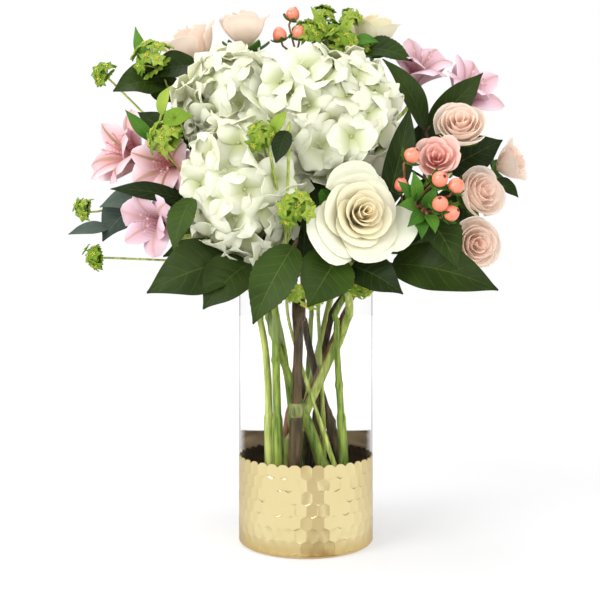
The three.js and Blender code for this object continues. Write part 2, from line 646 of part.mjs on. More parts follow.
// ---------------------------------------------------------------- foliage, umbels, berries
// A leaf on its stalk: folded along its midrib, bowed along its length, with a waved edge. The
// stalk is the stretch with t below 0, a narrow strip along its own route.
function leafBlade({ foot, tip, width, bow }, stalk, extra = 0) {
  const { along, up, side, length } = leafFrame(foot, tip);
  const curve = new THREE.CatmullRomCurve3(stalk.points, false, 'centripetal');
  const surface = (s, t) => {
    if (t < 0) {
      const way = curve.getTangent(1 + t);
      const flat = side.clone().addScaledVector(way, -side.dot(way)).normalize();
      return curve.getPoint(1 + t).addScaledVector(flat, (stalk.radius + extra) * s);
    }
    const half = 0.5 * width * Math.sin(Math.PI * (0.06 + 0.9 * t ** 0.85)) ** 0.75 + extra;
    const wave = 0.05 * width * Math.sin(9 * t + 2 * s) * s * s;
    const lift = bow * length * 4 * t * (1 - t) + 0.3 * half * Math.abs(s) + wave;
    return foot.clone().addScaledVector(along, length * t).addScaledVector(side, half * s)
      .addScaledVector(up, lift);
  };
  const stops = [-1, ...(curve.getLength() > 30 ? [-0.5] : []), 0];
  stops.push(...(width > 30 ? [0.3, 0.65, 1] : [0.42, 1]));
  return blade(surface, 2, stops, LEAF + 2 * extra);
}

function leafFrame(foot, tip) {
  const along = tip.clone().sub(foot);
  const length = along.length();
  along.normalize();
  const up = at(foot.x + tip.x, foot.y + tip.y, 0).normalize();
  up.add(foot.y < BACK ? at(0, -2, 0.6) : at(0, 1.2, 0.6));
  up.addScaledVector(along, -up.dot(along)).normalize();
  return { along, up, side: along.clone().cross(up), length };
}

// A star-shaped bract round a knot of tiny flowers, on a three-sided stalk of length `drop`.
function umbellet(radius, drop) {
  const points = [at(0, 0, 0.2 * radius)];
  for (let k = 0; k < 10; k += 1) {
    const reach = radius * (k % 2 ? 0.56 : 1);
    points.push(polar(reach, (TURN * k) / 10, k % 2 ? -0.5 : 0));
  }
  for (let k = 0; k < 3; k += 1) {
    points.push(polar(1, (TURN * (k + 0.5)) / 3, -0.5 * radius));
  }
  points.push(at(0, 0, -drop - 2));
  const faces = [];
  const under = [11, 11, 11, 12, 12, 12, 12, 13, 13, 11];
  for (let k = 0; k < 10; k += 1) {
    const [a, b] = [1 + k, 1 + ((k + 1) % 10)];
    faces.push(0, a, b, b, a, under[k]);
    if (under[k] !== under[(k + 1) % 10]) faces.push(under[(k + 1) % 10], b, under[k]);
  }
  for (let k = 0; k < 3; k += 1) faces.push(11 + k, 14, 11 + ((k + 1) % 3));
  return shell(points, faces);
}

function umbel(middle, radius, count) {
  const axis = middle.clone().sub(HEART).normalize();
  const hub = middle.clone().addScaledVector(axis, -0.9 * radius);
  const turn = new THREE.Quaternion().setFromUnitVectors(at(0, 0, 1), axis);
  const size = 0.32 * radius + 1.8;
  const knot = toSolid(new THREE.OctahedronGeometry(2)).translate(hub.toArray());
  const rays = Array.from({ length: count }, (_, k) => {
    const inner = k === 0 && count > 3;
    const way = polar(inner ? 0.1 : 0.75, (TURN * k) / (count > 3 ? count - 1 : count), 0.95);
    way.applyQuaternion(turn).multiplyScalar(radius);
    return place(umbellet(size, way.length() + 0.5), hub.clone().add(way), way);
  });
  return { solids: [knot, ...rays], hub };
}

// A berry with its ring of sepals, on the end of its stalk.
function berry(spot, size) {
  const profile = [
    [0, -1.75], [0.22, -1.02], [0.98, -0.8], [0.94, 0.1], [0.55, 0.9], [0, 1.08],
  ];
  return place(toSolid(lathe(profile, 5)), spot, spot.clone().sub(HEART), size);
}

// ---------------------------------------------------------------- vase, gilt foot, water
function glassVase() {
  const inner = VASE.radius - VASE.wall;
  const seat = GILT.radius - GILT.skin - GAP;
  const shoulder = GILT.top + GAP;
  return toSolid(lathe([
    [0, GILT.footPlate + GAP], [seat - GILT.bevel, GILT.footPlate + GAP],
    [seat, GILT.footPlate + GILT.bevel + GAP], [seat, shoulder],
    [VASE.radius, shoulder + 1], [VASE.radius, VASE.height], [inner, VASE.height],
    [inner, VASE.floor], [0, VASE.floor],
  ], VASE.sides));
}

// The gilt foot: a honeycomb of hammered hollows with a scalloped upper edge.
function giltFoot() {
  const { radius, rows, peak, shoulder, dimple, footRadius, top } = GILT;
  const rowPitch = peak + shoulder;
  const around = VASE.sides;
  const points = [];
  const spotOf = new Map();
  const spot = (half, z, r) => {
    const turns = ((half % (2 * around)) + 2 * around) % (2 * around);
    const key = `${turns}/${z.toFixed(2)}`;
    if (!spotOf.has(key)) {
      spotOf.set(key, points.length);
      points.push(polar(r, (Math.PI * turns) / around, z));
    }
    return spotOf.get(key);
  };
  const faces = [];
  const fan = (middle, ring) => ring.forEach((a, k) => {
    faces.push(middle, a, ring[(k + 1) % ring.length]);
  });
  for (let row = 0; row < rows; row += 1) {
    const z = top - peak - row * rowPitch;
    for (let cell = 0; cell < around; cell += 1) {
      const half = 2 * cell + (row % 2);
      const ring = [[1, -shoulder], [1, shoulder], [0, peak], [-1, shoulder], [-1, -shoulder], [0, -peak]]
        .map(([step, rise]) => spot(half + step, z + rise, radius));
      fan(spot(half, z, radius - dimple), ring);
    }
  }
  const rim = [];
  const hem = [];
  const zTop = top - peak;
  const zLow = top - peak - (rows - 1) * rowPitch;
  for (let half = 0; half < 2 * around; half += 1) {
    const crest = half % 2 === 0;
    const low = (half + rows - 1) % 2 === 0;
    rim.push(spot(half, zTop + (crest ? peak : shoulder), radius));
    hem.push(spot(half, zLow - (low ? peak : shoulder), radius));
  }
  const inside = radius - GILT.skin;
  const ring = (r, z) => Array.from({ length: around }, (_, k) => spot(2 * k, z, r));
  const foot = ring(footRadius, 0);
  const lip = ring(inside, zTop + shoulder - 0.4);
  const heel = ring(inside, GILT.footPlate + GILT.bevel);
  const seat = ring(inside - GILT.bevel, GILT.footPlate);
  zip(faces, hem, foot);
  zip(faces, rim, lip, true);
  [[lip, heel], [heel, seat]].forEach(([upper, lower]) => upper.forEach((a, k) => {
    const next = (k + 1) % around;
    faces.push(a, upper[next], lower[k], upper[next], lower[next], lower[k]);
  }));
  fan(points.push(at(0, 0, GILT.footPlate)) - 1, seat);
  fan(points.push(at(0, 0, 0)) - 1, foot.reverse());
  return shell(points, faces);
}

// Joins a ring of points to a ring of half as many below it, or inside it where `turned` is true.
function zip(faces, fine, coarse, turned = false) {
  coarse.forEach((a, k) => {
    const b = coarse[(k + 1) % coarse.length];
    const [left, middle, right] = [2 * k, 2 * k + 1, (2 * k + 2) % fine.length].map((n) => fine[n]);
    const band = [[a, middle, left], [a, b, middle], [b, right, middle]];
    band.forEach(([u, v, w]) => faces.push(...(turned ? [w, v, u] : [u, v, w])));
  });
}

function water(stems) {
  const radius = VASE.radius - VASE.wall - GAP;
  const bottom = VASE.floor + GAP;
  const body = toSolid(lathe([[0, bottom], [radius, bottom], [radius, WATER_LEVEL], [0, WATER_LEVEL]],
    VASE.sides));
  return body.subtract(join(stems));
}

// ---------------------------------------------------------------- assembly
const mainRoutes = Object.entries(PLANTS).map(([name, plant]) => stemRoute(name, plant));
const mainOf = Object.fromEntries(mainRoutes.map((route) => [route.plant, route]));
const branchRoutes = [];
function branch(plant, end, radius) {
  const route = branchRoute(mainOf[plant], end, radius);
  branchRoutes.push(route);
  return route;
}

Object.entries(PLANTS).forEach(([plant, { heads = [], radius }]) => {
  if (heads.length > 1) {
    heads.forEach((head) => {
      branch(plant, approach(FLOWERS[head]), 0.62 * radius).goal = head;
    });
  }
});
LEAVES.forEach((leaf) => {
  const { along } = leafFrame(leaf.foot, leaf.tip);
  leaf.stalk = branch(leaf.plant, [leaf.foot.clone().addScaledVector(along, -6), leaf.foot], 1);
});
BERRIES.forEach(([plant, spot]) => branch(plant, behind(spot, BERRY), 0.9));
const umbels = UMBELS.map(([plant, ...form]) => ({ plant, ...umbel(...form) }));
umbels.forEach(({ plant, hub }) => branch(plant, [...behind(hub, 5).slice(0, 1), hub], 0.9));
spread([...mainRoutes, ...branchRoutes]);

// Stems of four or five sides; they are cut off flat where they stand in the vase.
function tubeOf(route, extra = 0) {
  const knots = knotsOf(route.points, 0.7);
  if (route.root) return tube(knots, route.radius + extra, route.radius > 1.5 ? 4 : 3);
  knots[0] = knots[0].clone().add(knots[0].clone().sub(knots[1]).setLength(4));
  const whole = tube(knots, route.radius + extra, route.radius > 1.5 ? 5 : 4);
  return extra > 0 ? whole : whole.trimByPlane([0, 0, 1], STEM_FOOT);
}
const stalks = LEAVES.map((leaf) => leaf.stalk);
const routesOf = (plant) => [...mainRoutes, ...branchRoutes]
  .filter((route) => route.plant === plant && !stalks.includes(route));

const flowers = Object.fromEntries(Object.entries(FLOWERS).map(([name, flower]) =>
  [name, largest(trimmed(name, MAKE[flower.kind](flower)).simplify(SLACK))]));
const flowerRoom = Object.entries(flowers).map(([name, solid]) => roomRound(solid, FLOWERS[name].at));

// What a plant carries besides its stems, drawn `extra` larger all round.
function carried(plant, extra = 0) {
  const leaves = LEAVES.filter((leaf) => leaf.plant === plant)
    .map((leaf) => leafBlade(leaf, leaf.stalk, extra));
  const berries = BERRIES.filter((one) => one[0] === plant)
    .map(([, spot]) => berry(spot, BERRY + extra));
  return { leaves, berries };
}

// The convex space that a flower takes up, with air round it.
function roomRound(solid, middle) {
  const { vertProperties } = solid.getMesh();
  const spots = [];
  for (let k = 0; k < vertProperties.length; k += 3) {
    const spot = at(...vertProperties.slice(k, k + 3)).sub(middle);
    spots.push(spot.setLength(spot.length() + 1.6 * GAP).add(middle));
  }
  return toSolid(new ConvexGeometry(spots));
}

const vaseRoom = toSolid(lathe([
  [0, -1], [VASE.radius + 0.8, -1], [VASE.radius + 0.8, VASE.height + 0.5],
  [VASE.radius - VASE.wall - 0.5, VASE.height + 0.5], [VASE.radius - VASE.wall - 0.5, 0], [0, 0],
], VASE.sides));

const near = (a, b) => {
  const [p, q] = [a.boundingBox(), b.boundingBox()];
  return [0, 1, 2].every((k) => p.min[k] < q.max[k] && q.min[k] < p.max[k]);
};
const cutBy = (solid, rooms) => rooms.reduce((left, room) =>
  (near(left, room) ? left.subtract(room) : left), solid);

const order = Object.keys(PLANTS);
const tubes = Object.fromEntries(order.map((plant) =>
  [plant, routesOf(plant).map((route) => tubeOf(route))]));
const tubeRoom = Object.fromEntries(order.map((plant) =>
  [plant, routesOf(plant).map((route) => tubeOf(route, 1.2 * GAP))]));
const umbelsOf = (plant) => umbels.filter((one) => one.plant === plant).flatMap((one) => one.solids);

const taken = []; // rooms of the foliage that is already in place
const greens = {};
order.forEach((plant) => {
  const own = carried(plant);
  const others = order.filter((name) => name !== plant).flatMap((name) => tubeRoom[name]);
  const stems = tubes[plant].map((solid) => cutBy(solid, [...flowerRoom, vaseRoom]));
  const blades = own.leaves.map((solid) =>
    largest(cutBy(solid, [...flowerRoom, vaseRoom, ...others, ...taken])));
  const fruit = own.berries.map((solid) => cutBy(solid, [...flowerRoom, ...others, ...taken]));
  const tops = umbelsOf(plant).map((solid) => cutBy(solid, [...flowerRoom, vaseRoom, ...others, ...taken]));
  greens[plant] = rooted(cutBy(join([...stems, ...blades, ...fruit, ...tops]), taken));
  taken.push(...carried(plant, GAP).leaves, ...carried(plant, 1.2 * GAP).berries,
    ...umbelsOf(plant).map((solid) => roomRound(solid, middleOf(solid))));
});

function middleOf(solid) {
  const { min, max } = solid.boundingBox();
  return at(...min).add(at(...max)).multiplyScalar(0.5);
}

const group = new THREE.Group();
function add(name, solid, material) {
  const mesh = new THREE.Mesh(toGeometry(solid), material);
  mesh.name = name;
  group.add(mesh);
}
add('glass_vase', glassVase(), FINISH.glass);
add('gilt_foot', giltFoot(), FINISH.gilt);
add('water', water(mainRoutes.map((route) => tubeOf(route, 1.5 * GAP))), FINISH.water);
order.forEach((plant) => add(`${plant}_stem`, greens[plant], PLANT_LOOK[plant] ?? FINISH.stem));
Object.entries(flowers).forEach(([name, solid]) => add(name, solid, LOOK[FLOWERS[name].kind]));

export default group;
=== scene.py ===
# %% [markdown]
# # A floral table centrepiece in Blender
#
# White hydrangeas, a large ivory rose, blush spray roses, pink alstroemeria, coral berries, lime
# hare's ear and dark leaves stand in a clear cylinder of glass, whose foot is wrapped in gilded,
# hammered metal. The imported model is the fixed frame: it holds every piece at its real size. Each
# cell below swaps a faceted solid for a fine piece of the same form and gives it its finish.

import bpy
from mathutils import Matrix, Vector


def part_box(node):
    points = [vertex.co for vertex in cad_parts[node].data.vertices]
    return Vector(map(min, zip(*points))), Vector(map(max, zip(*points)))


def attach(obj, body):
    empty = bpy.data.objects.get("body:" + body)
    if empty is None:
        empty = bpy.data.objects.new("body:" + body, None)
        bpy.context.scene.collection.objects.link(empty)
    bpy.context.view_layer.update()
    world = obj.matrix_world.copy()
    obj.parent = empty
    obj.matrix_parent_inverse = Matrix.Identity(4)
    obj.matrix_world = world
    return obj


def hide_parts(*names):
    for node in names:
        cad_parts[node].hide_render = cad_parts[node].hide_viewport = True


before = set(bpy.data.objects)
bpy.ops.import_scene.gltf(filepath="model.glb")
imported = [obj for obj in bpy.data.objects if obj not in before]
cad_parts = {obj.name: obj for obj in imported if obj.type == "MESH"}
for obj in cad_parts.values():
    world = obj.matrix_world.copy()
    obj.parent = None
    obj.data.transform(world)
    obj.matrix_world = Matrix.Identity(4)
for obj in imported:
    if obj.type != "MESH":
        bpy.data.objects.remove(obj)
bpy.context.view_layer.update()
print("nodes in the frame:", len(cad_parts))

# %% Python's own tools, and the values that the whole arrangement shares
import math
import random

import bpy
import numpy as np
from mathutils import Matrix, Quaternion, Vector

MM = 0.001
TURN = 2 * math.pi
GOLDEN = math.pi * (3 - math.sqrt(5))  # the angle that spreads florets evenly over a ball
UP = Vector((0, 0, 1))
HEART = Vector((0, 60, 225)) * MM  # the point that every flower turns away from


def mm(x, y, z):
    """A point given in millimetres, in Blender's metres."""
    return Vector((x, y, z)) * MM


# %% [markdown]
# ## Modelling helpers
#
# Petals, sepals and leaves are all thin curved sheets. A sheet could be pushed into shape point by
# point, or with a lattice. Here a grid primitive is added and each of its points is moved by a
# small formula of two numbers: `s` runs across the sheet from -1 to 1, and `t` along it from 0 at
# its root to 1 at its tip. The formula reads like a description of the petal, the grid's own UV
# map keeps `s` and `t` for the finishes, and a Solidify modifier then gives the sheet its wall.


# %% Selecting, modifying, pressing sheets
def select(*pieces):
    """Selects only these pieces, because an operator acts on all that is selected."""
    bpy.ops.object.select_all(action="DESELECT")
    for piece in pieces:
        piece.select_set(True)
    bpy.context.view_layer.objects.active = pieces[0]


def modify(piece, kind, **settings):
    """Adds one modifier with these settings and applies it."""
    select(piece)
    modifier = piece.modifiers.new(kind.title(), kind)
    for name, value in settings.items():
        setattr(modifier, name, value)
    bpy.ops.object.modifier_apply(modifier=modifier.name)
    return piece


def sheet(name, across, along, form, thickness):
    """A grid pressed into the curved sheet form(s, t), with a wall of this thickness."""
    bpy.ops.object.select_all(action="DESELECT")
    bpy.ops.mesh.primitive_grid_add(x_subdivisions=across, y_subdivisions=along, size=2)
    piece = bpy.context.object
    piece.name = name
    for vertex in piece.data.vertices:
        vertex.co = form(vertex.co.x, (vertex.co.y + 1) / 2)
    modify(piece, "SOLIDIFY", thickness=thickness, offset=0)
    return soften(piece)


def soften(piece, degrees=55):
    """Smooth shading, with every edge sharper than this angle kept crisp."""
    select(piece)
    bpy.ops.object.shade_smooth_by_angle(angle=math.radians(degrees))
    return piece


# %% [markdown]
# ## Copies and joins
#
# A bouquet repeats itself: four sepals make a floret and dozens of florets make a head. Each shape is
# modelled once, about the origin and facing +Z, and then copied. Every copy has a mesh of its own,
# with its place in that mesh, and carries two numbers that the finishes read as attributes: `tint`
# is drawn anew for each copy, and `depth` says how far inside its flower it sits.


# %% Copying and joining
def posed(centre, axis, size=1.0, spin=0.0):
    """The matrix that turns +Z to look along the axis, and moves the origin to the centre."""
    turn = UP.rotation_difference(axis) @ Quaternion(UP, spin)
    return Matrix.LocRotScale(centre, turn, Vector((size, size, size)))


def mark(piece, **values):
    """Writes each value on all of the piece's points, as an attribute of that name."""
    count = len(piece.data.vertices)
    for name, value in values.items():
        layer = piece.data.attributes.get(name) or piece.data.attributes.new(name, "FLOAT", "POINT")
        layer.data.foreach_set("value", np.full(count, value, dtype=np.float32))
    return piece


def stamp(master, matrix, **values):
    """A copy of the master with its own mesh, put in place by the matrix."""
    twin = bpy.data.objects.new(master.name, master.data.copy())
    bpy.context.collection.objects.link(twin)
    twin.data.transform(matrix)
    return mark(twin, **values) if values else twin


def gather(name, parts):
    """Joins the parts in one piece of this name."""
    select(*parts)
    if len(parts) > 1:
        bpy.ops.object.join()
    piece = bpy.context.object
    piece.name = name
    piece.data.name = name
    return piece


def discard(*masters):
    """Removes master shapes, which are no part of the arrangement."""
    for master in masters:
        bpy.data.objects.remove(master)


def settle(piece, finish, slot, *nodes):
    """Gives a piece its finish, makes it ride with the vase and hides its solids; the slot is not used."""
    piece.data.materials.clear()
    piece.data.materials.append(finish)
    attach(piece, "root")
    if nodes:
        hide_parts(*nodes)
    print(f"{piece.name}: {len(piece.data.polygons)} faces")
    return piece


# %% [markdown]
# ## Stalks
#
# A stalk is a round rod on a curve. Blender's curve object with a bevel draws such a rod, with its
# own radius at each point, so a stem can swell at a node and taper into its flower. All stalks of
# one plant are splines of one curve, which is made a mesh at the end. Inside the glass the stems
# are seen, so there their paths follow the solids: `spine` cuts a solid at a height and takes the
# middle of the cut. Above the rim they run on through a few given points.


# %% Smooth paths, rods, and the middle line of a solid stem
def smooth_path(points, step=4 * MM):
    """Points about one step apart on a smooth curve through the given points."""
    ends = [2 * points[0] - points[1], *points, 2 * points[-1] - points[-2]]
    path = []
    for a, b, c, d in zip(ends, ends[1:], ends[2:], ends[3:]):
        count = max(1, round((c - b).length / step))
        for k in range(count):
            u = k / count
            bend = (c - a) * u + (2 * a - 5 * b + 4 * c - d) * u**2 + (3 * b - a - 3 * c + d) * u**3
            path.append(b + 0.5 * bend)
    return [*path, points[-1]]


def rods(name, routes, roundness=2):
    """One piece of round stalks; a route is a list of (point, radius)."""
    curve = bpy.data.curves.new(name, "CURVE")
    curve.dimensions = "3D"
    curve.bevel_depth = 1.0
    curve.bevel_resolution = roundness
    curve.use_fill_caps = True
    for route in routes:
        spline = curve.splines.new("POLY")
        spline.points.add(len(route) - 1)
        for spot, (place, radius) in zip(spline.points, route):
            spot.co = (*place, 1)
            spot.radius = radius
    piece = bpy.data.objects.new(name, curve)
    bpy.context.collection.objects.link(piece)
    select(piece)
    bpy.ops.object.convert(target="MESH")
    return soften(bpy.context.object)


def spine(node, heights, room):
    """The middle of a solid stem at each height, with nothing counted outside the vase's room."""
    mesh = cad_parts[node].data
    spots = np.array([vertex.co for vertex in mesh.vertices])
    faces = np.array([face.vertices[:] for face in mesh.polygons])
    middle = []
    for height in heights:
        cuts = []
        for a, b in ((0, 1), (1, 2), (2, 0)):
            p, q = spots[faces[:, a]], spots[faces[:, b]]
            crossed = (p[:, 2] - height) * (q[:, 2] - height) < 0
            p, q = p[crossed], q[crossed]
            cuts.append(p + ((height - p[:, 2]) / (q[:, 2] - p[:, 2]))[:, None] * (q - p))
        cuts = np.concatenate(cuts)
        middle.append(Vector(cuts[np.hypot(cuts[:, 0], cuts[:, 1]) < room].mean(axis=0)))
    return middle


# %% [markdown]
# ## Writing finishes as sums
#
# A finish is a small sum: this colour, a little more of that one towards the lip, minus some grey
# in the veins. Drawn as nodes it is a tangle, so `Wire` wraps one socket and lets Python's own
# signs add the Math nodes, and `Finish.node` adds any other node from its type, its settings and
# its inputs. Colours go through `blend`, because a Math node would turn them grey.


# %% A wire and a finish
class Wire:
    """An output socket that can be added, multiplied and compared like a number."""

    def __init__(self, finish, socket):
        self.finish = finish
        self.socket = socket

    def math(self, operation, first, second=0.0, third=0.0):
        node = self.finish.node("Math", {"operation": operation}, {0: first, 1: second, 2: third})
        return Wire(self.finish, node.outputs[0])

    def __add__(self, other):
        return self.math("ADD", self, other)

    def __sub__(self, other):
        return self.math("SUBTRACT", self, other)

    def __rsub__(self, other):
        return self.math("SUBTRACT", other, self)

    def __mul__(self, other):
        return self.math("MULTIPLY", self, other)

    def __truediv__(self, other):
        return self.math("DIVIDE", self, other)

    def __pow__(self, other):
        return self.math("POWER", self, other)

    def __abs__(self):
        return self.math("ABSOLUTE", self)

    def wave(self):
        """Its sine."""
        return self.math("SINE", self)

    def clamped(self):
        """The same value, held between 0 and 1."""
        return Wire(self.finish, self.finish.node("Clamp", {}, {0: self}).outputs[0])

    __radd__ = __add__
    __rmul__ = __mul__


class Finish:
    """A material built from nodes, one expression at a time."""

    def __init__(self, name):
        self.material = bpy.data.materials.new(name)
        self.material.use_nodes = True
        self.tree = self.material.node_tree
        self.tree.nodes.clear()

    def node(self, kind, settings, inputs):
        """Adds a node; a ramp's stops are a setting, given as (place, colour) pairs."""
        node = self.tree.nodes.new("ShaderNode" + kind)
        for name, value in settings.items():
            if name == "stops":
                self.set_stops(node.color_ramp, value)
            else:
                setattr(node, name, value)
        for name, value in inputs.items():
            if isinstance(value, Wire):
                self.tree.links.new(value.socket, node.inputs[name])
            else:
                node.inputs[name].default_value = value
        return node

    @staticmethod
    def set_stops(ramp, stops):
        while len(ramp.elements) < len(stops):
            ramp.elements.new(1.0)
        for element, (place, colour) in zip(ramp.elements, stops):
            element.position = place
            element.color = colour

    def wire(self, kind, settings=None, inputs=None, output=0):
        return Wire(self, self.node(kind, settings or {}, inputs or {}).outputs[output])

    def attribute(self, name):
        return self.wire("Attribute", {"attribute_name": name}, output="Fac")

    def blend(self, factor, first, second):
        """The first colour turning into the second as the factor goes from 0 to 1."""
        node = self.node("Mix", {"data_type": "RGBA"}, {0: factor, 6: first, 7: second})
        return Wire(self, node.outputs[2])

    def place(self, source="Object"):
        """The three coordinates of a point, each as a wire."""
        split = self.node("SeparateXYZ", {}, {0: self.wire("TexCoord", output=source)})
        return [Wire(self, socket) for socket in split.outputs]

    def across_along(self):
        """The sheet's own s, from -1 to 1, and t, from 0 to 1, out of its UV map."""
        across, along, _ = self.place("UV")
        return across * 2 - 1, along

    def noise(self, scale, detail=3.0, stretch=None, source="Object"):
        """Noise from 0 to 1 on the piece's own coordinates, stretched along its axes."""
        place = self.wire("TexCoord", output=source)
        if stretch:
            place = self.wire("Mapping", {}, {"Vector": place, "Scale": stretch})
        return self.wire("TexNoise", {}, {"Vector": place, "Scale": scale, "Detail": detail})

    def bump(self, height, strength, distance):
        return self.wire("Bump", {}, {"Height": height, "Strength": strength, "Distance": distance})

    def principled(self, **inputs):
        """A Principled shader; an input's underscores stand for the spaces in its name."""
        named = {name.replace("_", " "): value for name, value in inputs.items()}
        return self.wire("BsdfPrincipled", {}, named)

    def mix(self, factor, first, second):
        return self.wire("MixShader", {}, {0: factor, 1: first, 2: second})

    def done(self, shader):
        self.node("OutputMaterial", {}, {"Surface": shader})
        print("finish:", self.material.name)
        return self.material


def rgb(red, green, blue):
    """A colour in linear light, as a socket takes it."""
    return (red, green, blue, 1.0)


# %% [markdown]
# ## Petal finishes
#
# A petal is a soft film full of water. Light scatters at its surface and also passes through it,
# so a petal in shade still glows with the light behind it. Subsurface scattering could do that
# but is slow on so many thin sheets. A mix of a rough surface and a Translucent shader is quick
# and looks right. The colour runs from the heart's to the lip's along the petal, its own `tint`
# moves it a little, fine veins run lengthwise, and `depth` takes inner petals to a deeper colour.


# %% The petals' shared recipe, and its colours
def petal_finish(name, lip, root, deep, through, glow=0.35, veins=0.25, reach=0.55, rough=0.5):
    """A petal: lip and root colours along it, deep where `depth` is 1."""
    finish = Finish(name)
    along = finish.across_along()[1]
    tint = finish.attribute("tint")
    depth = finish.attribute("depth")
    grain = finish.noise(60, 4, (9, 0.8, 1), "UV")
    fade = (1 - along / reach).clamped()
    colour = finish.blend(fade * 0.85, lip, root)
    # `depth` takes a petal to the deep colour: for the roses their own deeper heart, for the hydrangea
    # partly painted shade.
    colour = finish.blend((depth * (1.1 - 0.6 * along) * (0.5 + 0.6 * tint)).clamped(), colour, deep)
    colour = finish.blend((abs(grain - 0.5) * 2 * veins).clamped(), colour, root)
    bump = finish.bump(grain, 0.5, 0.5 * MM)
    skin = finish.principled(Base_Color=colour, Roughness=rough, Normal=bump, Specular_IOR_Level=0.25)
    lit = finish.wire("BsdfTranslucent", {}, {"Color": finish.blend(0.6, colour, through)})
    return finish.done(finish.mix(glow, skin, lit))


PETALS = {
    # The white's root and deep colours are dark greens: partly the florets' own green, partly painted shade
    # in the creases and deep in the head.
    "white": petal_finish(
        "hydrangea_white", rgb(0.90, 0.905, 0.765), rgb(0.48, 0.54, 0.15), rgb(0.31, 0.36, 0.07),
        through=rgb(0.90, 0.92, 0.54), glow=0.28, veins=0.14, reach=0.58,
    ),
    "ivory": petal_finish(
        "rose_ivory", rgb(0.97, 0.96, 0.84), rgb(0.88, 0.87, 0.54), rgb(0.95, 0.64, 0.24),
        through=rgb(0.93, 0.91, 0.60), glow=0.4, veins=0.06, reach=0.55,
    ),
    "guard": petal_finish(
        "rose_guard", rgb(0.94, 0.95, 0.83), rgb(0.68, 0.77, 0.38), rgb(0.60, 0.70, 0.24),
        through=rgb(0.84, 0.88, 0.50), glow=0.34, veins=0.12, reach=0.7,
    ),
    "blush": petal_finish(
        "rose_blush", rgb(0.99, 0.93, 0.87), rgb(0.99, 0.90, 0.80), rgb(0.99, 0.68, 0.57),
        through=rgb(1.0, 0.90, 0.81), glow=0.6, veins=0.08, reach=0.6,
    ),
    "rosy": petal_finish(
        "rose_rosy", rgb(0.98, 0.82, 0.74), rgb(0.96, 0.68, 0.60), rgb(0.95, 0.50, 0.44),
        through=rgb(0.98, 0.60, 0.54), glow=0.5, veins=0.1, reach=0.8,
    ),
}


# %% [markdown]
# An alstroemeria's tepal is pink with a paler edge and a brown-green rib down its middle. The rib
# and the edge follow the petal, so they are drawn on its UV map.


# %% The striped tepals
def tepal_finish(name, throat, body, edge, rib, stripe):
    """A tepal with a rib down its middle; `depth` 1 marks the inner, striped ones."""
    finish = Finish(name)
    across, along = finish.across_along()
    inner = finish.attribute("depth")
    tint = finish.attribute("tint")
    grain = finish.noise(40, 4, (8, 0.8, 1), "UV")
    wide = abs(across)
    colour = finish.blend((along * 1.7 - 0.15 + (tint - 0.5) * 0.5).clamped(), throat, body)
    colour = finish.blend(((wide - 0.25) * 1.1 + (along - 0.6) * 0.8).clamped(), colour, edge)
    narrow = 0.17 - wide - abs(along - 0.55) * 0.12
    middle = (narrow * 10).clamped() * ((along - 0.15) * 3).clamped()
    colour = finish.blend(middle * (0.35 + 0.6 * tint), colour, rib)
    dashes = ((along * 75 + wide * 10).wave() - 0.5).clamped() * ((0.6 - along) * 4).clamped()
    colour = finish.blend((dashes * inner * 1.2).clamped(), colour, stripe)
    colour = finish.blend(abs(grain - 0.5) * 0.5, colour, throat)
    bump = finish.bump(grain, 0.4, 0.3 * MM)
    skin = finish.principled(Base_Color=colour, Roughness=0.42, Normal=bump, Specular_IOR_Level=0.3)
    lit = finish.wire("BsdfTranslucent", {}, {"Color": colour})
    return finish.done(finish.mix(0.35, skin, lit))


PETALS["salmon"] = tepal_finish(
    "tepal_salmon", rgb(0.78, 0.32, 0.30), rgb(0.86, 0.56, 0.58), rgb(0.93, 0.80, 0.84),
    rgb(0.34, 0.24, 0.06), rgb(0.30, 0.05, 0.05),
)
PETALS["lilac"] = tepal_finish(
    "tepal_lilac", rgb(0.68, 0.39, 0.42), rgb(0.81, 0.55, 0.63), rgb(0.91, 0.78, 0.84),
    rgb(0.62, 0.40, 0.30), rgb(0.30, 0.05, 0.08),
)


# %% [markdown]
# ## Leaf and stalk finishes
#
# A leathery leaf is dark and glossy on its face, with a pale rib and side veins that sink into it.
# The veins could be cut in the mesh, but they are finer than its faces, so they are drawn on the
# UV map and raised by a bump: side veins run forward from the rib at a steady pace.


# %% The leaves
def leaf_finish(name, dark, light, vein, pairs=7, gloss=0.42, lines=0.5):
    finish = Finish(name)
    across, along = finish.across_along()
    wide = abs(across)
    tint = finish.attribute("tint")
    mottle = finish.noise(45, 4)
    rank = (along * pairs - wide * 1.6) * TURN
    side = ((rank.math("COSINE", rank) - 0.93) * 14).clamped() * ((1 - wide) * 2.5).clamped()
    net = finish.noise(30, 5, (3, 6, 1), "UV")
    rib = ((0.035 - wide) * 45).clamped()
    veins = (side * 0.55 + rib).clamped()
    colour = finish.blend(((mottle - 0.35) * 1.1 + (tint - 0.5) * 0.9).clamped(), dark, light)
    colour = finish.blend(veins * lines, colour, vein)
    height = net * 0.35 - side * 0.5 - rib * 0.8
    bump = finish.bump(height, 0.6, 0.5 * MM)
    skin = finish.principled(
        Base_Color=colour, Roughness=gloss + (mottle - 0.5) * 0.15, Normal=bump,
        Specular_IOR_Level=0.15,
    )
    lit = finish.wire("BsdfTranslucent", {}, {"Color": colour})
    return finish.done(finish.mix(0.12, skin, lit))


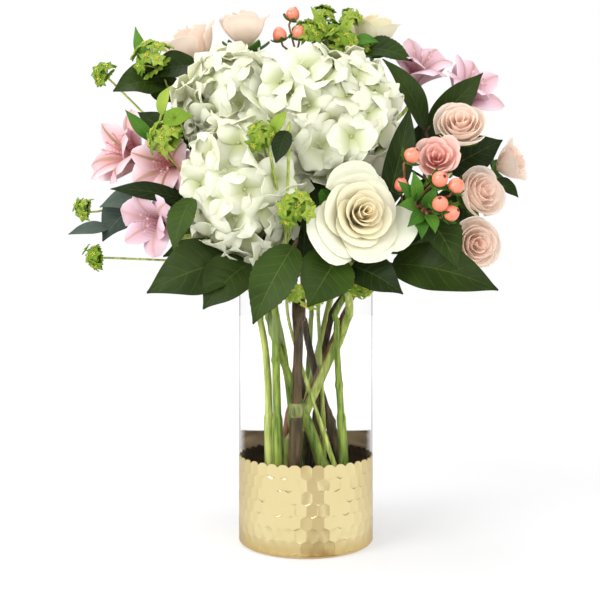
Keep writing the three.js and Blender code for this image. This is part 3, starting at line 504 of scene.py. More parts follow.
LEAVES_LOOK = {
    "dark": leaf_finish("leaf_dark", rgb(0.012, 0.023, 0.004), rgb(0.040, 0.070, 0.009),
                        rgb(0.13, 0.20, 0.03), lines=0.3),
    "ribbed": leaf_finish("leaf_ribbed", rgb(0.017, 0.034, 0.005), rgb(0.052, 0.096, 0.012),
                          rgb(0.15, 0.24, 0.04), pairs=8, lines=0.4),
    "fresh": leaf_finish("leaf_fresh", rgb(0.04, 0.13, 0.012), rgb(0.13, 0.30, 0.03),
                         rgb(0.3, 0.5, 0.12), lines=0.3),
    "grey": leaf_finish("leaf_grey", rgb(0.04, 0.06, 0.045), rgb(0.12, 0.16, 0.125),
                        rgb(0.2, 0.25, 0.19), gloss=0.5, lines=0.3),
    "lime": leaf_finish("bract_lime", rgb(0.16, 0.28, 0.02), rgb(0.42, 0.52, 0.085),
                        rgb(0.5, 0.68, 0.14), pairs=5, gloss=0.45, lines=0.3),
}


# %% Stalks, bark and berries
def stalk_finish(name, dark, light, streak=1.5, gloss=0.4, grain=420):
    """A stalk with fibres along it, drawn by noise that is stretched upwards."""
    finish = Finish(name)
    fibre = finish.noise(grain, 4, (1, 1, 0.12))
    patch = finish.noise(28, 3)
    mixed = ((fibre - 0.5) * 2 * streak + (patch - 0.5) * 1.2 + 0.5).clamped()
    bump = finish.bump(fibre, 0.45, 0.4 * MM)
    return finish.done(finish.principled(
        Base_Color=finish.blend(mixed, dark, light), Roughness=gloss, Normal=bump,
        Specular_IOR_Level=0.25,
    ))


STALKS = {
    "green": stalk_finish("stalk_green", rgb(0.06, 0.12, 0.012), rgb(0.30, 0.39, 0.06)),
    "pale": stalk_finish("stalk_pale", rgb(0.18, 0.26, 0.03), rgb(0.54, 0.60, 0.17)),
    "bark": stalk_finish("stalk_bark", rgb(0.020, 0.014, 0.006), rgb(0.105, 0.070, 0.027), gloss=0.55),
    "russet": stalk_finish("stalk_russet", rgb(0.09, 0.035, 0.015), rgb(0.34, 0.17, 0.08),
                           gloss=0.5),
    "olive": stalk_finish("stalk_olive", rgb(0.07, 0.085, 0.02), rgb(0.24, 0.27, 0.08)),
}


def berry_finish(name, skin_colour, blush, tip):
    """A glossy berry; its own `depth` runs from 0 at its foot to 1 at its dark tip."""
    finish = Finish(name)
    depth = finish.attribute("depth")
    mottle = finish.noise(160, 3)
    colour = finish.blend(((mottle - 0.35) * 1.4).clamped(), skin_colour, blush)
    colour = finish.blend(((depth - 0.975) * 60).clamped(), colour, tip)
    return finish.done(finish.principled(
        Base_Color=colour, Roughness=0.28, Coat_Weight=0.4, Coat_Roughness=0.12,
        Subsurface_Weight=0.12, Subsurface_Scale=2 * MM,
    ))


CORAL = berry_finish("berry_coral", rgb(0.82, 0.21, 0.13), rgb(0.90, 0.36, 0.24),
                     rgb(0.10, 0.02, 0.01))
POLLEN = berry_finish("pollen_yellow", rgb(0.56, 0.50, 0.05), rgb(0.50, 0.56, 0.08),
                      rgb(0.56, 0.40, 0.04))


# %% [markdown]
# ## Glass, water and gilt
#
# The wall of the glass is thin and even, so it hardly bends the view, and a real refracting wall
# would only add noise. It is drawn as a clear film with a glossy skin that grows at grazing angles
# and a painted grey where the view runs along the wall, for the dark line of the glass's edges. Water
# does bend the view, but a refracting body inside a clear film gives dark rims where its top meets
# the wall. So it is a clear film too, and the brown of the sleeve's shaded inside, which water lifts
# into view above the gilt, is painted on its back as a streaked brown film: a painted view, not a
# stain. The gilt is bare metal: its colour is in its reflection, with uneven polish. Its foot turns a
# darker orange, painted shade near the floor, and its inside is a matt brown with a faint glow,
# painted shade and painted light for the dim inside.


# %% Clear things and metal
VASE_LOW, VASE_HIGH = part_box("glass_vase")
GILT_LOW, GILT_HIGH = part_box("gilt_foot")
WATER_LOW, WATER_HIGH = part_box("water")


def radius_of(finish):
    """How far a point is from the vase's middle line."""
    x, y, _ = finish.place()
    return (x * x + y * y) ** 0.5


def glass_finish():
    finish = Finish("glass_clear")
    grazing = finish.wire("LayerWeight", {}, {"Blend": 0.5}, output="Facing")
    outside = ((radius_of(finish) - 49 * MM) * 2000).clamped()
    clear = finish.wire("BsdfTransparent", {}, {"Color": rgb(0.998, 0.998, 0.999)})
    # Painted shade: a grey drawn where the view runs along the wall, for the dark line at the glass's edges.
    painted_edge_grey = finish.wire("BsdfTransparent", {}, {"Color": rgb(0.22, 0.25, 0.29)})
    skin = finish.wire("BsdfGlossy", {}, {"Color": rgb(1, 1, 1), "Roughness": 0.02})
    wall = finish.mix(((grazing - 0.82) * 7).clamped() * outside, clear, painted_edge_grey)
    gleam = (0.008 + 0.3 * grazing ** 6) * outside
    return finish.done(finish.mix(gleam, wall, skin))


def water_finish():
    finish = Finish("water_clear")
    _, behind, height = finish.place()
    back = behind / WATER_HIGH.y
    edge = GILT_HIGH.z + (18 - 8 * back) * MM
    # Painted view: the band on the water's back is a streaked brown film for the sleeve's shaded inside,
    # which the water lifts into view; it is no stain in the water.
    band = ((edge - height) * 900).clamped() * (0.3 + 2 * back).clamped()
    clear = finish.wire("BsdfTransparent", {}, {"Color": rgb(0.995, 0.995, 0.99)})
    streaks = ((finish.noise(14, 4, (1, 1, 14)) - 0.35) * 3).clamped()
    painted_sleeve_brown = finish.blend(streaks, rgb(0.055, 0.038, 0.02), rgb(0.20, 0.15, 0.08))
    painted_sleeve_view = finish.wire("BsdfTransparent", {}, {"Color": painted_sleeve_brown})
    return finish.done(finish.mix(band, clear, painted_sleeve_view))


def gilt_finish():
    finish = Finish("gilt_hammered")
    cloud = finish.noise(35, 3)
    scratch = finish.noise(420, 2, (1, 1, 6))
    inside = ((GILT_HIGH.x - 0.5 * MM - radius_of(finish)) * 4000).clamped()
    _, _, height = finish.place()
    # Painted shade: the gilt turns a darker orange towards its foot, for the shade near the floor that it
    # mirrors there.
    low = ((GILT_LOW.z + 11 * MM - height) * 110).clamped()
    bright = finish.blend(cloud, rgb(0.85, 0.70, 0.35), rgb(0.90, 0.78, 0.43))
    bright = finish.blend(low * 0.7, bright, rgb(0.82, 0.58, 0.20))
    # Painted shade and painted light: inside the sleeve the metal is a matt brown that glows faintly, for
    # the dim inside that little real light reaches.
    colour = finish.blend(inside, bright, rgb(0.50, 0.38, 0.22))
    rough = 0.16 + (cloud - 0.5) * 0.06 + (scratch - 0.5) * 0.05 + inside * 0.4
    bump = finish.bump(scratch, 0.06, 0.2 * MM)
    # The emission is painted light on the sleeve's inside.
    return finish.done(finish.principled(
        Base_Color=colour, Metallic=1 - inside, Roughness=rough, Normal=bump, Emission_Strength=1.0,
        Emission_Color=finish.blend(inside, rgb(0, 0, 0), rgb(0.07, 0.05, 0.024)),
    ))


GLASS, WATER, GILT = glass_finish(), water_finish(), gilt_finish()

# %% [markdown]
# ## The camera, the light and the floor
#
# The camera looks level at the arrangement from 639 mm in front. The floor is pale and lit from
# within, as a studio table is, so that only a soft shadow shows on it. Soft boxes stand in front,
# on the left, in the middle and on the right, and above. The right one is hidden from reflections,
# where it would glint on the hollows' edges. The world is paper white to the eye, but dimmer as a
# light and in reflections, or the shadows between the petals would fill up and the gilt would
# turn pale. The gilt mirrors the floor before it, and what reflections see of the floor is painted:
# a painted shadow strip in front of the vase, and painted shade behind the vase and near its base.

# %% Camera, soft boxes, world and floor
camera = bpy.data.cameras.new("camera")
camera.lens = 50
camera.sensor_width = 36
camera.clip_end = 50
eye = bpy.data.objects.new("camera", camera)
eye.location = mm(-4.5, -639, 184)
eye.rotation_euler = (math.pi / 2, 0, 0)
bpy.context.collection.objects.link(eye)
bpy.context.scene.camera = eye
bpy.context.scene.view_settings.view_transform = "Standard"

SOFT_BOXES = {  # place, size, watts
    "left_box": (Vector((-1.2, -1.05, 0.8)), 1.0, 21.0),
    "front_box": (Vector((0.2, -1.7, 0.8)), 1.4, 13.0),
    "right_box": (Vector((1.3, -0.9, 0.6)), 1.2, 13.0),
    "top_box": (Vector((-0.3, 0.1, 1.5)), 1.0, 9.0),
}
for name, (place, size, watts) in SOFT_BOXES.items():
    box = bpy.data.lights.new(name, "AREA")
    box.size = size
    box.energy = watts
    lamp = bpy.data.objects.new(name, box)
    lamp.location = place
    lamp.visible_glossy = name != "right_box"
    lamp.rotation_euler = (mm(0, 0, 220) - place).to_track_quat("-Z", "Y").to_euler()
    bpy.context.collection.objects.link(lamp)

world = bpy.data.worlds.new("studio")
world.use_nodes = True
bpy.context.scene.world = world
world.node_tree.nodes.clear()


def world_node(kind, **inputs):
    node = world.node_tree.nodes.new("ShaderNode" + kind)
    for name, value in inputs.items():
        node.inputs[name].default_value = value
    return node


paper = world_node("Background", Color=rgb(1, 1, 1), Strength=1.0)
room = world_node("Background", Color=rgb(1, 0.99, 0.97), Strength=0.39)
path = world_node("LightPath")
either = world_node("Math")
either.operation = "MAXIMUM"
choice = world_node("MixShader")
sky = world_node("OutputWorld")
for start, end in (
    (path.outputs["Is Diffuse Ray"], either.inputs[0]),
    (path.outputs["Is Reflection Ray"], either.inputs[1]),
    (either.outputs[0], choice.inputs[0]),
    (paper.outputs[0], choice.inputs[1]),
    (room.outputs[0], choice.inputs[2]),
    (choice.outputs[0], sky.inputs[0]),
):
    world.node_tree.links.new(start, end)

bpy.ops.object.select_all(action="DESELECT")
bpy.ops.mesh.primitive_plane_add(size=12, location=(0, 3, 0))
bpy.ops.object.transform_apply()
floor = bpy.context.object
floor.name = "floor"
pale = Finish("floor_pale")
east, north, _ = pale.place()
away = (east * east + north * north) ** 0.5
far = ((away - 0.35) / 1.2).clamped()
matt = pale.principled(Base_Color=rgb(0.86, 0.86, 0.87), Roughness=0.9, Specular_IOR_Level=0.1)
lit = pale.principled(
    Base_Color=rgb(0.54, 0.54, 0.55), Roughness=0.9, Specular_IOR_Level=0.1, Emission_Strength=1.0,
    Emission_Color=pale.blend(far, rgb(0.46, 0.46, 0.46), rgb(1, 1, 1)),
)
# Painted reflection: what the gilt mirrors of the floor is a painted shadow strip in front of the vase, with
# painted shade behind the vase and near its base.
painted_shadow_strip = (((0.22 * east - 0.975 * north) / away - 0.95) * 30).clamped()
behind = ((north / away + 0.35) * 0.9).clamped()
painted_base_shade = ((0.11 - away) * 16).clamped()
dark = (painted_shadow_strip * 0.4 + behind * 0.45 + painted_base_shade * 0.5).clamped()
painted_reflection = pale.wire("Emission", {}, {"Color": pale.blend(dark, rgb(1, 1, 1), rgb(0.3, 0.19, 0.07))})
bounced = pale.wire("LightPath", output="Is Diffuse Ray")
reflected = pale.wire("LightPath", output="Is Reflection Ray") * (1 - bounced)
direct = pale.mix(bounced, lit, matt)
floor.data.materials.append(pale.done(pale.mix(reflected, direct, painted_reflection)))
print("camera, world, floor and", len(SOFT_BOXES), "soft boxes")

# %% [markdown]
# ## The glass cylinder
#
# A cylinder primitive is added at the vase's size. Its top face is inset by the wall and pushed
# down to the vase's floor, which leaves a heavy base, and a bevel rounds the rim and the foot, as
# the fire-polished edges of blown glass are. Spinning a profile would do as well, but the inset
# keeps the wall even by itself.

# %% Faces picked by place, and the vase
VASE_RADIUS = VASE_HIGH.x
GAP = 0.3 * MM  # the clearance between neighbouring pieces
SLOPE = 0.9 * MM  # height of the step above the sleeve
WALL = VASE_RADIUS - WATER_HIGH.x - GAP
ROUND = 128  # sides of the smooth cylinders


def pick_faces(piece, wanted):
    """Selects the faces for which wanted(face) holds, and goes into edit mode."""
    select(piece)
    bpy.ops.object.mode_set(mode="EDIT")
    bpy.ops.mesh.select_mode(type="FACE")
    bpy.ops.mesh.select_all(action="DESELECT")
    bpy.ops.object.mode_set(mode="OBJECT")
    for face in piece.data.polygons:
        face.select = wanted(face)
    bpy.ops.object.mode_set(mode="EDIT")


def pull(height):
    """Extrudes the selected faces or edges upwards, or down where the height is negative."""
    bpy.ops.mesh.extrude_region_move(TRANSFORM_OT_translate={"value": (0, 0, height)})


def drum(name, radius, low, high):
    """A cylinder that stands between two heights, with its place in its mesh."""
    bpy.ops.object.select_all(action="DESELECT")
    bpy.ops.mesh.primitive_cylinder_add(
        vertices=ROUND, radius=radius, depth=high - low, location=(0, 0, (low + high) / 2)
    )
    bpy.ops.object.transform_apply()
    piece = bpy.context.object
    piece.name = name
    return piece


SEAT_RADIUS = GILT_HIGH.x - 1.4 * MM  # of the glass where the sleeve wraps it
SHOULDER_HEIGHT = GILT_HIGH.z + GAP

vase = drum("vase_glass", SEAT_RADIUS, VASE_LOW.z, SHOULDER_HEIGHT)
pick_faces(vase, lambda face: face.normal.z > 0.9)
pull(SLOPE)
wider = VASE_RADIUS / SEAT_RADIUS
bpy.ops.transform.resize(value=(wider, wider, 1))
pull(VASE_HIGH.z - SHOULDER_HEIGHT - SLOPE)
bpy.ops.mesh.inset(thickness=WALL)
pull(WATER_LOW.z - GAP - VASE_HIGH.z)
bpy.ops.object.mode_set(mode="OBJECT")
modify(vase, "BEVEL", width=0.9 * MM, segments=3, limit_method="ANGLE", angle_limit=0.9)
settle(soften(vase, 40), GLASS, "clear_glass", "glass_vase")

# %% [markdown]
# ## The water
#
# The water fills the vase to a little above the gilt. Its upper edge climbs the glass in a narrow
# meniscus, which catches the light as a thin line. The stems simply stand in it.

# %% Water out to the glass's skin, with a meniscus
MENISCUS = 1.2 * MM
WATER_SEAT = SEAT_RADIUS - 0.4 * MM
WATER_RADIUS = VASE_RADIUS - 0.7 * MM

water = drum("vase_water", WATER_SEAT, WATER_LOW.z, SHOULDER_HEIGHT)
pick_faces(water, lambda face: face.normal.z > 0.9)
pull(SLOPE)
bpy.ops.transform.resize(value=(WATER_RADIUS / WATER_SEAT, WATER_RADIUS / WATER_SEAT, 1))
pull(WATER_HIGH.z - SHOULDER_HEIGHT - SLOPE)
for _ in range(2):
    bpy.ops.mesh.inset(thickness=1.4 * MM)
    bpy.ops.transform.translate(value=(0, 0, -0.5 * MENISCUS))
bpy.ops.object.mode_set(mode="OBJECT")
settle(soften(water, 50), WATER, "clear_water", "water")

# %% [markdown]
# ## The gilt foot
#
# The metal sleeve is beaten all over into a honeycomb, seven rows of thirty-eight hollows, and its
# upper edge follows the hollows in little arches. One hollow is modelled once, as a six-sided
# circle that is filled with a fan and inset twice. Each copy gets a flat middle within a raised
# edge, leant a little differently, as hammering does, and is wrapped round the vase by turning
# its width into an angle. A plain band closes the sleeve below, and rolls in to the flat foot.

# %% The honeycomb's sizes and its one hollow
AROUND, ROWS = 38, 7
PITCH = TURN * GILT_HIGH.x / AROUND  # width of a hollow
ARCH = 2.0 * MM  # how far the arches of the upper edge rise above their cusps
ROW_PITCH = 8.9 * MM
SHOULDER = (ROW_PITCH - ARCH) / 2  # half the height of a hollow's upright side
PEAK = SHOULDER + ARCH
DISH = 0.1 * MM
SECTORS = 12
RAISED = 0.17  # share of a hollow that its raised edge takes


def cell_edge(angle):
    """How far the hollow's outline is from its middle in this direction."""
    x, y = math.cos(angle), math.sin(angle)
    upright = (PITCH / 2) / max(abs(x), 1e-9)
    roof = PEAK / (abs(y) + 2 * ARCH / PITCH * abs(x))
    return min(upright, roof)


bpy.ops.object.select_all(action="DESELECT")
bpy.ops.mesh.primitive_circle_add(vertices=SECTORS, radius=1, fill_type="TRIFAN")
hollow = bpy.context.object
hollow.name = "hollow"
bpy.ops.object.mode_set(mode="EDIT")
bpy.ops.mesh.select_all(action="SELECT")
for share in (0.1, 0.08):
    bpy.ops.mesh.inset(thickness=share)
bpy.ops.object.mode_set(mode="OBJECT")
# The circle's twelve directions are eased onto the six corners and the six edge middles.
STOPS = [
    0.0,
    math.atan2(SHOULDER, PITCH / 2),
    math.atan2((SHOULDER + PEAK) / 2, PITCH / 4),
    math.pi / 2,
]
for vertex in hollow.data.vertices:
    reach = vertex.co.length
    turns = math.atan2(vertex.co.y, vertex.co.x) / (math.pi / 2)
    quarter = math.floor(turns + 1e-6)
    step = round((turns - quarter) * 3)
    angle = STOPS[step] if quarter % 2 == 0 else math.pi / 2 - STOPS[3 - step]
    angle += quarter * math.pi / 2
    if reach > 1e-6:
        vertex.co = Vector((math.cos(angle), math.sin(angle), 0)) * reach * cell_edge(angle)
print("one hollow:", len(hollow.data.polygons), "faces")

# %% Wrapping the hollows round the vase
beat = random.Random(11)


def chord(x):
    """How far a hollow's flat middle lies inside the round sleeve, x from its upright centre line."""
    return (PITCH**2 / 4 - x * x) / (2 * GILT_HIGH.x)


def beaten(row, place):
    """One hollow, dished and leant by chance, in its place round the sleeve."""
    cell = stamp(hollow, Matrix.Identity(4))
    angle = TURN * (place + 0.5 * (row % 2)) / AROUND
    dish = DISH * beat.uniform(0.7, 1.25)
    lean_x, lean_z = beat.uniform(-0.045, 0.045), beat.uniform(-0.03, 0.03)
    for vertex in cell.data.vertices:
        x, y, _ = vertex.co
        edge = math.hypot(x, y) / cell_edge(math.atan2(y, x))
        keep = min(1.0, max(0.0, (1 - edge) / RAISED))
        flat = chord(x)
        rest = (flat + chord(PITCH / 2 - abs(x))) / 2 if abs(y) > 0.9 * SHOULDER * edge else flat
        arch = 0.35 * ARCH * (1 - abs(4 * abs(x) / PITCH - 1)) if row == 0 and y > 0 else 0.0
        radius = GILT_HIGH.x - keep * (dish + flat + lean_x * x + lean_z * y) - (1 - keep) * rest
        turned = angle + x / GILT_HIGH.x
        height = GILT_HIGH.z - PEAK - row * ROW_PITCH + y + arch * edge
        vertex.co = (radius * math.sin(turned), -radius * math.cos(turned), height)
    return cell


sleeve = gather("gilt_sleeve", [beaten(row, place) for row in range(ROWS) for place in range(AROUND)])
discard(hollow)
select(sleeve)
bpy.ops.object.mode_set(mode="EDIT")
bpy.ops.mesh.select_all(action="SELECT")
bpy.ops.mesh.remove_doubles(threshold=0.05 * MM)
bpy.ops.mesh.normals_make_consistent(inside=False)
bpy.ops.mesh.select_mode(type="EDGE")
bpy.ops.mesh.region_to_loop()
bpy.ops.object.mode_set(mode="OBJECT")
middle_height = (GILT_LOW.z + GILT_HIGH.z) / 2
for edge in sleeve.data.edges:
    ends = [sleeve.data.vertices[k].co.z for k in edge.vertices]
    edge.select = edge.select and max(ends) < middle_height
print("sleeve:", len(sleeve.data.polygons), "faces")

# %% The band below the hollows, the flat foot, and the sleeve's wall
BAND = [(-2.6, 0.3), (-1.3, 1.0), (-0.9, 1.6), (-0.2, 1.4)]  # how far down, and in, at each step
bpy.ops.object.mode_set(mode="EDIT")
pull(-1 * MM)
bpy.ops.transform.resize(value=(1, 1, 0))
radius = GILT_HIGH.x
for down, inwards in BAND[1:]:
    pull(down * MM)
    smaller = 1 - inwards * MM / radius
    bpy.ops.transform.resize(value=(smaller, smaller, 1), center_override=(0, 0, 0))
    radius *= smaller
bpy.ops.mesh.fill_holes(sides=0)
bpy.ops.object.mode_set(mode="OBJECT")
lowest = min(vertex.co.z for vertex in sleeve.data.vertices)
for vertex in sleeve.data.vertices:
    if vertex.co.z < lowest + 0.02 * MM:
        vertex.co.z = GILT_LOW.z
modify(sleeve, "SOLIDIFY", thickness=0.75 * MM, offset=-1)
settle(soften(sleeve, 24), GILT, "gilt_metal", "gilt_foot")

# %% [markdown]
# ## Where everything grows
#
# Each flower has a kind, its middle and its radius, and some the way they face. Most of these are
# the solids' own numbers, so most fine pieces fall where the solids are. Five blooms differ from
# their solids: three spray roses at the top and an alstroemeria on the left are 2 to 4 mm larger
# in radius, another alstroemeria is 3 mm smaller, and two of the five stand 3 to 4 mm away.

# %% The flowers
FLOWERS = {
    "hydrangea_low_head": ("hydrangea", (-46, -58, 262), (40, 40, 49)),
    "hydrangea_top_head": ("hydrangea", (-62, -30, 341), (37, 35, 33)),
    "hydrangea_right_head": ("hydrangea", (22, -55, 312), (49, 40, 43)),
    "white_rose_bloom": ("white_rose", (37, -92, 241), 34),
    "spray_rose_right_a": ("globe_rose", (108, -55, 307), 18.5, (-0.1, -0.85, 0.5)),
    "spray_rose_right_b": ("open_rose", (88, -76, 280), 17, (-0.1, -0.95, 0.25)),
    "spray_rose_right_c": ("globe_rose", (123, -50, 260), 19, (0.5, -0.8, 0.2)),
    "spray_rose_right_d": ("globe_rose", (117, -62, 223), 18, (0.25, -0.95, -0.1)),
    "spray_rose_right_e": ("bud_rose", (157, 8, 289), 17, (0.8, -0.45, 0.25)),
    "spray_rose_top_a": ("bud_rose", (-46, -8, 387), 21, (0, -0.25, 0.97)),
    "spray_rose_top_b": ("bud_rose", (-88, 8, 378), 24, (-0.45, -0.3, 0.85)),
    "spray_rose_top_c": ("bud_rose", (52, 15, 391), 22, (0.1, -0.3, 0.95)),
    "spray_rose_back_a": ("open_rose", (60, 90, 300), 18),
    "spray_rose_back_b": ("globe_rose", (-68, 88, 288), 18),
    "alstroemeria_left_a": ("lily", (-141, -15, 296), 32, (-0.75, -0.6, 0.3)),
    "alstroemeria_left_b": ("lily", (-101, -45, 281), 27, (-0.3, -0.9, -0.1)),
    "alstroemeria_left_c": ("lily", (-112, -48, 239), 25, (-0.5, -0.8, -0.2)),
    "alstroemeria_left_d": ("lily_bud", (-88, -62, 213), 10, (0.1, -0.3, -0.95)),
    "alstroemeria_right_a": ("lily", (90, 8, 369), 28, (0.2, -0.6, 0.7)),
    "alstroemeria_right_b": ("lily", (131, 12, 352), 29, (0.5, -0.6, 0.5)),
    "alstroemeria_right_c": ("lily", (0, 100, 320), 25),
}


def place_of(flower):
    """The middle of a flower, the way it faces, and its mean radius, in metres."""
    _, middle, size, *facing = FLOWERS[flower]
    reach = (size[0] + size[2]) / 2 if isinstance(size, tuple) else size
    face = Vector(facing[0]) if facing else mm(*middle) - HEART
    return mm(*middle), face.normalized(), reach * MM


def of_kind(kind):
    return [name for name, flower in FLOWERS.items() if flower[0] == kind]


print({kind: len(of_kind(kind)) for kind in {flower[0] for flower in FLOWERS.values()}})

# %% [markdown]
# ## The hydrangeas
#
# A mop head is a ball of many florets, each of four broad, waved sepals round a tiny bud. Where
# sepals overlap the head is white. Deep between them it turns green and darker: the florets of the
# inner layer and the root of every sepal are painted so, partly their own green and partly painted
# shade. Four florets are modelled, no two alike, and the golden angle spreads copies over the ball
# in two layers. Chance turns each copy and sinks or tilts it a little, because an even ball would
# look like a toy. The balls of florets aren't quite where the solids are: they are a little larger
# and are moved closer together, the top one by 16 mm, so that no gap shows between the heads and
# the spray roses behind the top one can be seen.

# %% Four florets
FLORET = 18.5 * MM


def sepal_form(dice):
    """A broad sepal that rises, rolls back at its tip and waves along its edge."""
    wide, lift, roll = dice.uniform(0.46, 0.6), dice.uniform(0.1, 0.55), dice.uniform(0.1, 0.45)
    wave, phase, twist = dice.uniform(0.06, 0.14), dice.uniform(0, TURN), dice.uniform(-0.2, 0.2)

    def form(s, t):
        half = wide * math.sin(math.pi * (0.04 + 0.88 * t**0.95)) ** 0.6
        rise = lift * t**1.3 - roll * t**3.5 + wave * math.sin(5 * t + 3 * s + phase) * (0.3 + s * s) * t
        point = 0.04 + 0.96 * t - 0.1 * abs(s) ** 1.5 * t
        return Vector((point, half * s, rise - 0.1 * s * s * t + twist * s * t))

    return form


def floret(seed):
    dice = random.Random(seed)
    parts = []
    for k in range(4):
        sepal = sheet("sepal", 5, 4, sepal_form(dice), 0.022)
        tip_up = Matrix.Rotation(-dice.uniform(-0.05, 0.35), 4, "Y")
        around = Matrix.Rotation(TURN * k / 4 + dice.uniform(-0.16, 0.16), 4, "Z")
        sepal.data.transform(around @ Matrix.Translation((0, 0, 0.035 * (k % 2))) @ tip_up)
        parts.append(mark(sepal, depth=0.0))
    bpy.ops.mesh.primitive_ico_sphere_add(subdivisions=1, radius=0.075, location=(0, 0, 0.08))
    bpy.ops.object.transform_apply()
    parts.append(mark(bpy.context.object, depth=0.7))
    return gather("floret", parts)


florets = [floret(seed) for seed in range(4)]
print("one floret:", len(florets[0].data.polygons), "faces")

# %% The three heads and the stalks of their florets
# The inner layer's greenness is partly painted shade, deep in the head where the sepals shade it.
LAYERS = ((5.5, 1.0, 1.0, 0.0), (14, 0.8, 0.8, 0.8))  # depth in mm, share of count, size, greenness
FULLER = 1.04  # how much larger a head is than its solid


def buried(place, own):
    """Whether a place lies inside another flower than its own."""
    for other, (kind, _, size, *_) in FLOWERS.items():
        middle, _, _ = place_of(other)
        radii = Vector(size if isinstance(size, tuple) else (size, size, size)) * MM
        away = place - middle
        inside = sum((away[k] / radii[k]) ** 2 for k in range(3))
        if other != own and inside < (0.66 if kind == "hydrangea" else 1.3):
            return True
    return False


def hydrangea(node, count, seed, shift):
    """A head of florets round its solid's middle, moved by the shift, in millimetres."""
    dice = random.Random(seed)
    middle, axis, reach = place_of(node)
    middle = middle + mm(*shift)
    radii = mm(*FLOWERS[node][2]) * FULLER
    hub = middle - axis * 0.45 * reach
    parts, routes = [], []
    for sunk, dense, size, depth in LAYERS:
        number = round(count * dense)
        shell = radii - Vector((1, 1, 1)) * sunk * MM
        for k in range(number):
            height = 1 - (2 * k + 1) / number
            level = math.sqrt(1 - height**2)
            way = Vector((level * math.cos(GOLDEN * k + seed), level * math.sin(GOLDEN * k + seed), height))
            spot = middle + way * shell * dice.uniform(0.9, 1.03)
            if buried(spot, node):
                continue
            normal = Vector([way[n] / radii[n] for n in range(3)]).normalized()
            tilt = Vector([dice.uniform(-0.42, 0.42) for _ in range(3)])
            facing = (normal + tilt).normalized()
            twin = posed(spot, facing, FLORET * size * dice.uniform(0.86, 1.08), dice.uniform(0, TURN))
            marks = {"tint": dice.random(), "depth": depth} if depth else {"tint": dice.random()}
            parts.append(stamp(dice.choice(florets), twin, **marks))
            routes.append([(hub, 1.1 * MM), (hub.lerp(spot, 0.6), 0.8 * MM), (spot - facing * MM, 0.7 * MM)])
    settle(gather(node + "_florets", parts), PETALS["white"], "white_sepal", node)
    settle(rods(node + "_pedicels", routes, 1), STALKS["pale"], "green_stem")


hydrangea("hydrangea_low_head", 60, 1, (2, 0, 0))
hydrangea("hydrangea_top_head", 46, 2, (10, -2, -12))
hydrangea("hydrangea_right_head", 64, 3, (-7, 0, 1))
discard(*florets)

# %% [markdown]
# ## The roses
#
# A rose is a spiral. Each petal is a cup-shaped sheet that wraps round those before it: the first
# ones are narrow tubes that hide the heart, the last ones are broad and roll their lips outwards.
# So one formula makes them all, and a number `grown` from 0 to 1 says how far out a petal is. A
# rose's kind is only a set of numbers: how many petals, how wide it opens, how its lips roll.


# %% One rose petal, and a whole rose
def rose_petal(angle, half, reach, lean, roll, low, tall, point, wave, phase):
    def form(s, t):
        spread = half * (0.45 + 0.75 * t - 0.28 * t * t)
        t *= 1 - 0.26 * s**4
        rise = t**1.15
        radius = 0.07 + (reach - 0.07) * math.sin(0.5 * math.pi * min(1.0, 1.25 * t))
        radius = radius * (1 + 0.07 * s) + lean * t**2.2 + roll * t**7
        radius += wave * s * s * math.sin(3.5 * s + phase) * t**3
        height = low + (tall - low) * rise * (1 - 0.13 * s * s * t) - 0.9 * roll * t**6
        height += point * (1 - abs(s)) ** 1.5 * t**5 + 0.6 * wave * math.sin(4 * s + phase) * t**4
        turned = angle + spread * s
        return Vector((radius * math.cos(turned), radius * math.sin(turned), height))

    return form


def between(first, last, share, power=1.0):
    return first + (last - first) * share**power


def rose(name, petals, seed, half, reach, lean, roll, tall, heart=0.32, wave=0.03, pace=1.0):
    """A rose of radius 1: each pair gives a value at its heart and at its outermost petal."""
    dice = random.Random(seed)
    parts = []
    for k in range(petals):
        grown = k / (petals - 1)
        form = rose_petal(
            GOLDEN * k + dice.uniform(-0.15, 0.15), between(*half, grown, 0.7),
            between(*reach, grown, pace), between(*lean, grown, 1.3) + dice.uniform(-0.02, 0.02),
            between(*roll, grown, 0.8), -0.55, heart + (tall - heart) * grown + dice.uniform(-0.02, 0.02),
            dice.uniform(0, 0.06) * grown, wave * (0.3 + grown), dice.uniform(0, TURN),
        )
        petal = sheet("petal", 11, 9, form, 0.013)
        parts.append(mark(petal, depth=(1 - grown) ** 1.3, tint=dice.random()))
    return gather(name, parts)


# %% The large ivory rose
GUARDS = [  # the broad outermost petals: one rolls down to the left, one points to the right
    dict(angle=3.95, half=0.86, reach=0.70, lean=0.30, roll=0.16, low=-0.5, tall=-0.06, point=0.05,
         wave=0.05, phase=0.0),
    dict(angle=-0.12, half=0.7, reach=0.66, lean=0.36, roll=0.12, low=-0.5, tall=0.0, point=0.14,
         wave=0.04, phase=1.0),
    dict(angle=2.0, half=0.8, reach=0.70, lean=0.24, roll=0.08, low=-0.5, tall=0.08, point=0.08,
         wave=0.04, phase=2.0),
    dict(angle=5.2, half=0.75, reach=0.70, lean=0.16, roll=0.12, low=-0.5, tall=0.03, point=0.04,
         wave=0.04, phase=3.0),
]
ivory = rose(
    "ivory_rose", 21, 5, half=(2.2, 1.15), reach=(0.04, 0.58), lean=(-0.01, 0.2), roll=(0.012, 0.15),
    tall=-0.02, heart=0.38, wave=0.025, pace=1.35,
)
centre, face, size = place_of("white_rose_bloom")
bloom = gather("white_rose_petals", [stamp(ivory, posed(centre, face, size))])
settle(bloom, PETALS["ivory"], "cream_petal", "white_rose_bloom")
guards = gather("white_rose_guards", [
    mark(sheet("guard", 12, 10, rose_petal(**form), 0.016), depth=0.0, tint=0.4) for form in GUARDS
])
guards.data.transform(posed(centre, face, size))
settle(guards, PETALS["guard"], "cream_petal")
discard(ivory)

